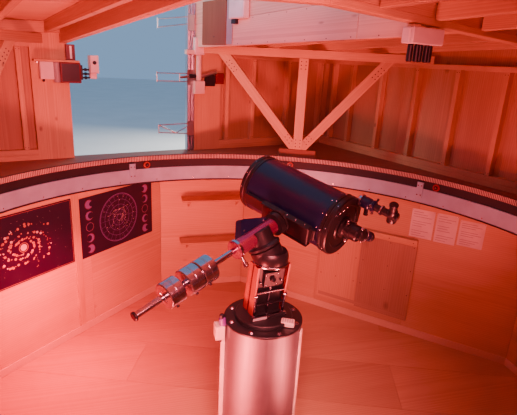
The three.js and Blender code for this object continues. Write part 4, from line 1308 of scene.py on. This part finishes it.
def make_weights():
    """Counterweights with a chamfer and a clamp screw, the shaft and its end washer."""
    for name, x0, radius in (("weight_1", -400, 78), ("weight_2", -498, 78), ("weight_3", -628, 74)):
        piece = Piece(name + "_disc", "ra_axis", HEAD, "bright black", "bright_steel")
        along, length = along_bar((x0, 0, 0), (x0 - 95, 0, 0), (0, 0, 1))
        r, middle = radius, length / 2
        piece.lathe([(19, 0), (r - 5, 0), (r, 5), (r, middle - 1.5), (r - 1.5, middle), (r, middle + 1.5),
            (r, length - 5), (r - 5, length), (32, length), (28, length - 4), (19, length - 4)], 80, 0,
            along)
        piece.pin((x0 - 47.5, 0, 2 - r), Z, -16, 9, 20, 1, 2)
        piece.make(name)
    shaft = Piece("shaft_rod", "ra_axis", HEAD, "bright black", "bright_steel")
    shaft.rod((-215 - GAP, 0, 0), (-903, 0, 0), 18, 40, 0, 1)
    shaft.pin((-896, 0, 0), X, -15, 26, 32, 1, 3)
    shaft.make("weight_shaft")


def make_head():
    """The turning head: a drum, the long declination housing and the drive box behind it."""
    head = Piece("head_housing", "ra_axis", HEAD, "housing tube black bright", "mount_paint")
    low = HOUSING_END + 6
    head.lathe([(1, low), (100, low), (104, low + 4), (104, -68), (100, -64), (84, -60), (80, -56),
        (80, 26), (76, 30), (1, 30)], 96, 2)
    lying = Matrix.Rotation(math.pi / 2, 4, "X")
    outline = [(-120, 0), (140, 0), (140, 20), (136, 34), (124, 58), (108, 70), (-20, 119), (-36, 126),
        (-50, 127), (-60, 119), (-114, 36), (-120, 22)]
    inset = [(10 + 0.95 * (x - 10), 50 + 0.92 * (z - 50)) for x, z in outline]
    head.prism(outline, -86, -29, X, 1, place=lying)
    head.prism(inset, -90, -25, X, 1, place=lying)
    along, length = along_bar((-215, 0, 0), (170, 0, 0), (0, 0, 1))
    for profile, skin in (
            ([(1, 0), (52, 0), (58, 5), (58, 30), (54, 35), (50, 36), (50, 338), (1, 338)], 0),
            ([(1, 338.5), (50, 338.5), (58, 342), (75, 348), (75, length - 4), (71, length),
                (1, length)], 2),
            ([(58.3, 9), (60, 9), (60, 27), (58.3, 27)], 3)):
        head.lathe(profile, 96, skin, along)
    for k in range(8):
        place = turned(45 * k + 22.5)
        head.pin((92, 0, -65), Z, 4, 5, 12, 3, 1, place)
        head.pin((66, 0, length - 2), Z, 4.5, 5, 12, 3, 1, along @ place)
    head.rod((-198, -20, -50), (-204, -34, -88), 11, 20, 3, 3)
    head.rod((-204, -33, -86), (-210, -44, -112), 17, 24, 3, 5)
    for x, z in ((-70, 62), (96, 52)):
        head.pin((x, 26, z), Y, -6, 7, 16, 3, 2)
    head.make("ra_head")


def on_square(p):
    """A place on the mount's square foot, whose pillar leans sideways as it rises."""
    return turned(MOUNT_TURN) @ Vector((p.x + PILLAR_LEAN * (p.z - PILLAR_FOOT), p.y, p.z))


def front(y, z):
    """The depth y measured from the pillar's sloping front face at the height z."""
    return y + PILLAR_SLOPE * (z - PILLAR_FOOT)


def pillar_rod(base, x, y0, z0, y1, z1, *form):
    """A bar at one place across the pillar; its depths are measured from the front face."""
    start, end = (on_square(Vector((x, front(y, z), z))) for y, z in ((y0, z0), (y1, z1)))
    base.rod(start, end, *form)


def side_strip(base, xs, near, far, skin):
    """Part of a side plate of the pillar, between two shares of its depth."""
    outline = [(-115 + 145 * near, PILLAR_FOOT), (-115 + 145 * far, PILLAR_FOOT),
        (42 + 120 * far, PILLAR_TOP), (42 + 120 * near, PILLAR_TOP)]
    base.prism(outline, *xs, X, skin, on_square, UPRIGHT_PLAN)


def across(base, zs, ys, xs, skin):
    """A body that lies across the pillar's front face and follows its slope."""
    (z0, z1), (y0, y1) = zs, ys
    outline = [(front(y0, z0), z0), (front(y1, z0), z0), (front(y1, z1), z1), (front(y0, z1), z1)]
    base.prism(outline, *xs, X, skin, on_square, UPRIGHT_PLAN)


def make_pillar(base):
    """Side plates in strips, the body between them, bars, screws, conduits and the front rail."""
    foot = PILLAR_FOOT
    for core, strip in (((88, 95), (88, 100)), ((-120, -113), (-125, -113))):
        side_strip(base, core, 0.005, 0.995, 0)
        side_strip(base, strip, 0, 0.36, 1)
        side_strip(base, strip, 0.55, 1, 1)
    body = [(-110, foot), (0, foot), (132, PILLAR_TOP), (47, PILLAR_TOP)]
    base.prism(body, -112.5, 87.5, X, 0, on_square, UPRIGHT_PLAN)
    for z in (1450, 1555):
        across(base, (z, z + 12), (-4, 28), (-112.5, 87.5), 3)
        across(base, (z + 2, z + 10), (28, 30), (-110, 85), 2)
    across(base, (1604, 1716), (-4, 24), (-62, 40), 0)
    for x, z in ((-50, 1618), (28, 1618), (-50, 1702), (28, 1702), (-82, 1640), (62, 1640)):
        pillar_rod(base, x, 0, z, 28, z, 6, 12, 2, 1.5)
    pillar_rod(base, -12, 16, foot, 16, 1603, 7, 16, 2)
    pillar_rod(base, -12, 22, 1662, 46, 1670, 17, 24, 3, 4)
    for x, z in ((90, 1550), (-118, 1530)):
        pillar_rod(base, x, 36, foot, 36, z, 9, 20, 2, 1)
        for a in (foot, z - 12):
            start = on_square(Vector((x, front(36, a), a)))
            end = on_square(Vector((x, front(38, a), a + 11)))
            base.rod(start, end, 14, 6, 2, 1)
    square = turned(MOUNT_TURN)
    for row in (((-125, 125), (62, 90), (foot, foot + 22), X, 3, 0),
            ((-122, 122), (66, 86), (foot + 22, foot + 23.5), X, 0.6, 2),
            ((22, 122), (90, 92), (foot + 2, foot + 20), X, 0.6, 4)):
        base.block(*row, place=square)
    for x in (-112, 10):
        base.pin((x, 88, foot + 11), Y, 10, 8, 6, 2, 2, square)


def below_head(p):
    """Cuts the round body off where the turning head begins."""
    pole = HEAD.to_3x3().col[2]
    reach = HOUSING_END - 1.5 - (p.x - AXES_CROSS.x) * pole.x - (p.y - AXES_CROSS.y) * pole.y
    return Vector((p.x, p.y, min(p.z, AXES_CROSS.z + reach / pole.z)))


def make_mount():
    """The base on the pier, its leaning pillar and the round body that ends the polar housing."""
    base = room_piece("mount_frame", "black red bright clamp grey", "dark_metal")
    low, foot, top = PIER_TOP + GAP, PILLAR_FOOT, PILLAR_TOP
    base.lathe([(1, low), (184, low), (190, low + 6), (190, foot - 6), (184, foot), (1, foot)], 96, 0)
    make_pillar(base)
    centre = HEAD @ Vector((0, 0, -180))
    under = moved(centre.x, centre.y, 0)
    base.lathe([(100, top - 4), (108, top - 4), (110, top - 1), (110, top + 6), (107, top + 10),
        (100, top + 10)], 96, 2, under)
    base.lathe([(1, top - 3.5), (99.5, top - 3.5), (99.5, top + 10.5), (104, top + 10.5), (108, top + 26),
        (109, top + 50), (105, top + 70), (97, top + 84), (1, top + 84)], 96, 0, under, below_head)
    base.lathe([(1, -180), (98, -180), (98, -94), (94, -90.5), (1, -90.5)], 96, 0, HEAD)
    base.make("mount_base")


# Pier
def make_pier():
    """The steel pipe with its weld seam and the black top plate with its bolts."""
    r = PIER_R
    pipe = room_piece("pier_pipe", "steel black bright", "pier_steel")
    low, high = FLOOR_TOP + GAP, PIER_TOP - 15 - GAP
    pipe.lathe([(r - 10, low), (r, low), (r, high - 2), (r - 2, high), (r - 10, high)], 160, 0)
    pipe.block((-r - 1.5, 3 - r), (-5, 5), (low, high - 4), Z, 1.5, 0)
    pipe.make("pier_column")
    plate = room_piece("pier_cap", "black bright", "dark_metal")
    low, high = PIER_TOP - 15, PIER_TOP
    plate.lathe([(1, low), (r + 3, low), (r + 6, low + 3), (r + 6, high - 3), (r + 3, high), (1, high)],
        160, 0)
    bolt = (228, 0, high - 1)
    plate.pins_round(8, 10, (bolt, Z, 10, 12, 6, 1, 2), (bolt, Z, 3, 17, 24, 1, 0.8))
    plate.make("pier_top_plate")


def make_pier_fittings():
    """The cable duct with its boxes, a small box with slots on the plate, a strip and a plug."""
    r, low, high = PIER_R, FLOOR_TOP + GAP, PIER_TOP
    duct = room_piece("pier_duct", "cream black", "pier_steel")
    duct.block((r + 1, r + 28), (-14, 14), (low, high - 131), Z, 3, 0)
    duct.block((r + 7, r + 64), (-40, 40), (high - 130, high - 30), Z, 6, 0)
    duct.block((r + 62, r + 70), (-38, 38), (high - 128, high - 32), Z, 3, 0)
    for y in (-20, 20):
        duct.pin((r + 36, y, high - 130), Z, -22, 10, 20, 1, 3)
    for z in range(320, 1180, 210):
        duct.block((r + 0.5, r + 30), (-18, 18), (z, z + 16), Y, 2, 0)
    duct.make("pier_conduit")
    small = room_piece("pier_fittings", "cream violet black grey", "white_plastic")
    box = moved(-122, 142, 0) @ turned(-24)
    small.block((-44, 44), (-32, 32), (high + 0.5, high + 34), X, 6, 0, place=box)
    for x in range(-30, 31, 15):
        small.block((x - 4, x + 4), (-25, 25), (high + 34.2, high + 37), Y, 1, 3, place=box)
    small.block((r + 1, r + 13), (-22, 22), (FLOOR_TOP + 200, high - 40), Z, 3, 0, place=turned(146))
    small.rod((276, 0, high - 29), (284, 0, high + 26), 22, 24, 1, 5, turned(4))
    small.rod((284, 0, high + 25), (288, 0, high + 52), 15, 24, 2, 4, turned(4))
    small.make()


# Fittings at the slit
def cased(piece, xs, ys, zs, skin, lid=None, seam=2.0):
    """A rounded case with a lid towards the room: +Y is the room's side."""
    y0, y1 = ys
    split = y1 - (y1 - y0) * 0.25
    piece.block(xs, (y0, split - seam / 2), zs, Z, 5, skin)
    piece.block((xs[0] + 1.5, xs[1] - 1.5), (y0 + 1, y1 - 2), (zs[0] + 1.5, zs[1] - 1.5), Z, 1, skin)
    piece.block(xs, (split + seam / 2, y1), zs, Z, 5, skin if lid is None else lid)


def make_left_jamb():
    """The instrument shelf of the left jamb with its cases, lamp and camera."""
    piece = top_piece("left_jamb_fittings", "pine white wine grey black glow alloy", "white_plastic",
        TOP @ moved(0, GAP - TOP_HALF, 0))
    piece.block((556, 935), (0, 110), (2850, 2868), X, 2, 0)
    cased(piece, (778, 890), (0, 100), (2700, 2849.5), 1)
    piece.pin((860, 50, 2700), Z, -24, 11, 20, 4, 3)
    piece.pin((748, 52, 2672), Z, 177.5, 30, 32, 3, 4)
    piece.blocks(
        ((545, 722), (2, 86), (2670, 2849.5), Z, 4, 2),
        ((560, 708), (86.5, 90), (2685, 2835), Z, 1, 4),
        ((575, 655), (0, 34), (2868.5, 3005), Z, 3, 2),
        ((604, 622), (34.5, 40), (2882, 2992), Z, 1, 5),
        ((528, 547), (12, 82), (2700, 2830), Z, 3, 4))
    for z in (2718, 2752, 2790):
        piece.pin((462, 44, z), X, 68, 8, 16, 4, 1.5)
        piece.pin((486, 44, z), X, 20, 15, 8, 4, 2)
    cased(piece, (385, 462), (0, 100), (2762, 2921), 1)
    piece.block((402, 462), (10, 84), (2712, 2761), Z, 5, 1)
    piece.pin((424, 98, 2856), Y, 10, 17, 24, 4, 2)
    for xs in ((592, 604), (900, 912)):
        piece.block(xs, (0, 80), (2838, 2849.5), Y, 1, 6)
    piece.make("instrument_rack")


def make_right_jamb():
    """The aluminium channel post of the right jamb, its boxes and the three stay frames."""
    piece = top_piece("right_jamb_fittings", "alloy white cream black wine bright", "bare_aluminium",
        TOP @ moved(0, -TOP_HALF, 0))
    x0, x1 = GAP - SLIT_HALF, 83 - SLIT_HALF
    post = (LEDGE_TOP + GAP, 3480)
    for xs in ((x0, x0 + 7), (x0 + 38, x0 + 45), (x1 - 7, x1)):
        piece.block(xs, (-60, 0), post, Z, 1.5, 0)
    piece.block((x0 + 1, x1 - 1), (-60, -52), post, Z, 1, 0)
    for xa, za, xb, zb in (
            (-229, 3209, -229, 3305), (-229, 3293, -600, 3351), (-229, 3218, -600, 3283),
            (-213, 2692, -213, 2796), (-213, 2782, -600, 2786), (-462, 2705, -462, 2782),
            (-213, 2704, -600, 2703), (-226, 2166, -226, 2262), (-226, 2254, -600, 2263),
            (-226, 2176, -600, 2148), (-226, 2254, -420, 2164), (-420, 2164, -600, 2255)):
        piece.rod((xa, 0, za), (xb, 0, zb), 6, 12, 0, 1)
    for z in (3290, 2744, 2206):
        piece.block((x0 + 6, x1 + 6), (-10, 4), (z - 78, z + 78), Z, 2, 0)
    piece.rod((-466, 16, 2745), (-722, 16, 2773), 14, 24, 5, 2)
    piece.rod((-560, 16, 2755.3), (-700, 16, 2770.6), 20, 24, 3, 3)
    piece.rod((-700, 22, 2762), (-885, 22, 2812), 21, 24, 0, 3)
    piece.blocks(
        ((-875, -748), (GAP, 18), (2660, 2775), Z, 4, 3),
        ((-974, -876), (GAP, 36), (2686, 2801), Z, 5, 4),
        ((-719, -607), (GAP, 64), (2979, 3149), Z, 6, 1),
        ((-719, -517), (GAP, 54), (2979, 3026), Z, 4, 2))
    piece.pin((-662, 34, 3149), Z, 271, 7, 16, 0, 1)
    piece.pin((-668, 30, 2718), Z, 260, 30, 24, 2, 4)
    piece.block((-731, -611), (GAP, 60), (2580, 2716), Z, 6, 2)
    piece.make("jamb_post")


def make_trimmer_fittings():
    """What hangs on the right trimmer's slit face: a board, a strip, a pale case and a clip."""
    x = -SLIT_HALF
    piece = top_piece("trimmer_fittings", "brown grey white black", "pine")
    for depth, *form in (
            (16, (-2246, -1759), (3075, 3475), Z, 3, 0),
            (10, (-1758, -1650), (3080, 3475), Z, 2, 1),
            (62, (-1632, -1379), (3292, 3450), Y, 7, 2),
            (34, (-1632, -1560), (3252, 3291), Y, 3, 3)):
        piece.block((x + 0.5, x + depth), *form)
    piece.pin((x + 0.5, -1988, 3150), X, 18.5, 7, 16, 3, 2)
    for y in range(-1560, 130, 240):
        for z in (30, 440):
            piece.pin(between_slopes(Vector((x + 0.2, y, z))), X, 1.4, 4, 10, 3)
    piece.make()


def make_equipment_box():
    """A case of two shells on two hangers under the main beam, with connectors on its underside."""
    piece = top_piece("beam_case", "white cream black pine", "white_plastic", TOP @ moved(0, BEAM_FRONT, 0))
    for xs, ys, zs, chamfer in (((-860, -592), (0, 60), (3085, 3172), 6),
            ((-860, -592), (62, 85), (3085, 3172), 6), ((-856, -596), (4, 80), (3088, 3169), 2)):
        piece.block(xs, ys, zs, X, chamfer, 0)
    for x in (-800, -650):
        low = JOIST_BOTTOM - BEAM_DROP - RISE * abs(x) + RISE * BEAM_FRONT
        piece.block((x - 30, x + 30), (8, 58), (3172.5, low - 2), Z, 3, 3)
    for k in range(5):
        piece.pin((42 * k - 826, 20 + 12 * (k % 2), 3085), Z, -96, 17, 20, 2, 5)
    piece.make("equipment_box")


for make in (
        make_floor, make_room_walls, make_room_trim, make_top_walls, make_roof_frame, make_roof_deck,
        make_coaming, make_top_trim, make_trusses, make_ring_fittings, make_ledge, make_curb_cover,
        make_sheets_on_walls, make_hatch, make_shelves, make_door, make_lids, make_shutters,
        make_telescope, make_corrector, make_saddle, make_eyepiece_end, make_finder, make_weights,
        make_head, make_mount, make_pier, make_pier_fittings, make_left_jamb, make_right_jamb,
        make_trimmer_fittings, make_equipment_box):
    make()


# Materials of the nodes that are shown as they are
# The track ring takes the band material with its painted daylight reflection.
for node_name, skin in (("track_ring", "band"), ("rotating_ring", "belt_ground"),
        ("curb_deck", "pine_flat")):
    data = nodes[node_name].data
    data.materials.clear()
    data.materials.append(MATERIALS[skin])


# The stage and the light
def make_stage():
    s = Shader("stage_floor", (0.78, 0.77, 0.75), 0.9)
    cloud = s.noise(s.coords(), 0.6, 3.0)
    s.feed("Base Color", s.ramp(cloud, [(0.3, (0.74, 0.73, 0.71)), (0.7, (0.80, 0.79, 0.77))]))
    mesh = bpy.data.meshes.new("stage_floor")
    mesh.from_pydata([(x, y, -0.002) for x, y in rect(-60, 60, -60, 60)], [], [(0, 1, 2, 3)])
    mesh.materials.append(s.material)
    floor = bpy.data.objects.new("stage_floor", mesh)
    bpy.context.scene.collection.objects.link(floor)


def area_light(name, place, target, size, power, color=(1, 1, 1), spread=180):
    data = bpy.data.lights.new(name, "AREA")
    data.shape, data.size, data.size_y = "RECTANGLE", *size
    data.energy, data.color, data.spread = power, color, math.radians(spread)
    light = bpy.data.objects.new(name, data)
    place, target = Vector(place), Vector(target)
    aim = (target - place).to_track_quat("-Z", "Y").to_matrix().to_4x4()
    light.matrix_world = Matrix.Translation(place) @ aim
    light.visible_camera = False
    bpy.context.scene.collection.objects.link(light)


DAYLIGHT = (1.0, 0.93, 0.84)


def make_lights():
    """Pale daylight all round the building, and red lamps in the room with a touch of sky light."""
    world = bpy.data.worlds.new("studio")
    world.use_nodes = True
    sky = world.node_tree.nodes["Background"].inputs
    sky["Color"].default_value = (0.38, 0.62, 1.0, 1)
    sky["Strength"].default_value = 0.6
    bpy.context.scene.world = world
    for name, place, power in (("key", (-6, -14, 5), 1800), ("side", (14, -2, 5), 1500),
            ("back", (-8, 13, 6), 1500)):
        area_light(name, place, (0, 0, 1.8), (8, 5), power, DAYLIGHT)
    for name, place, target, *form in (
            ("slit_sky", (0.5, -1.2, 3.45), (-0.6, -1.2, 3.35), (2.0, 0.25), 2.2, (0.50, 0.36, 1.0), 90),
            ("room_front", (0.9, 1.9, 2.9), (0.8, -1.6, 2.0), (1.4, 0.6), 64, (1.0, 0.12, 0.15), 110)):
        area_light(name, TOP @ Vector(place), TOP @ Vector(target), *form)
    for row in (("room_low", (1.3, -1.0, 1.5), (1.6, -1.3, 0), (0.5, 0.5), 50, (1.0, 0.0, 0.05), 130),
            ("up_left", (1.3, 0.9, 0.4), (0.1, -1.7, 2.7), (0.5, 0.5), 86, (1.0, 0.08, 0.09), 115),
            ("up_right", (-0.7, 0.9, 0.5), (-0.9, -1.5, 3.0), (0.4, 0.4), 34, (1.0, 0.11, 0.11), 100),
            ("pier_front", (0.45, 1.7, 2.5), (0, 0, 0.6), (0.7, 0.7), 24, (1.0, 0.19, 0.21), 60)):
        area_light(*row)


make_stage()
make_lights()
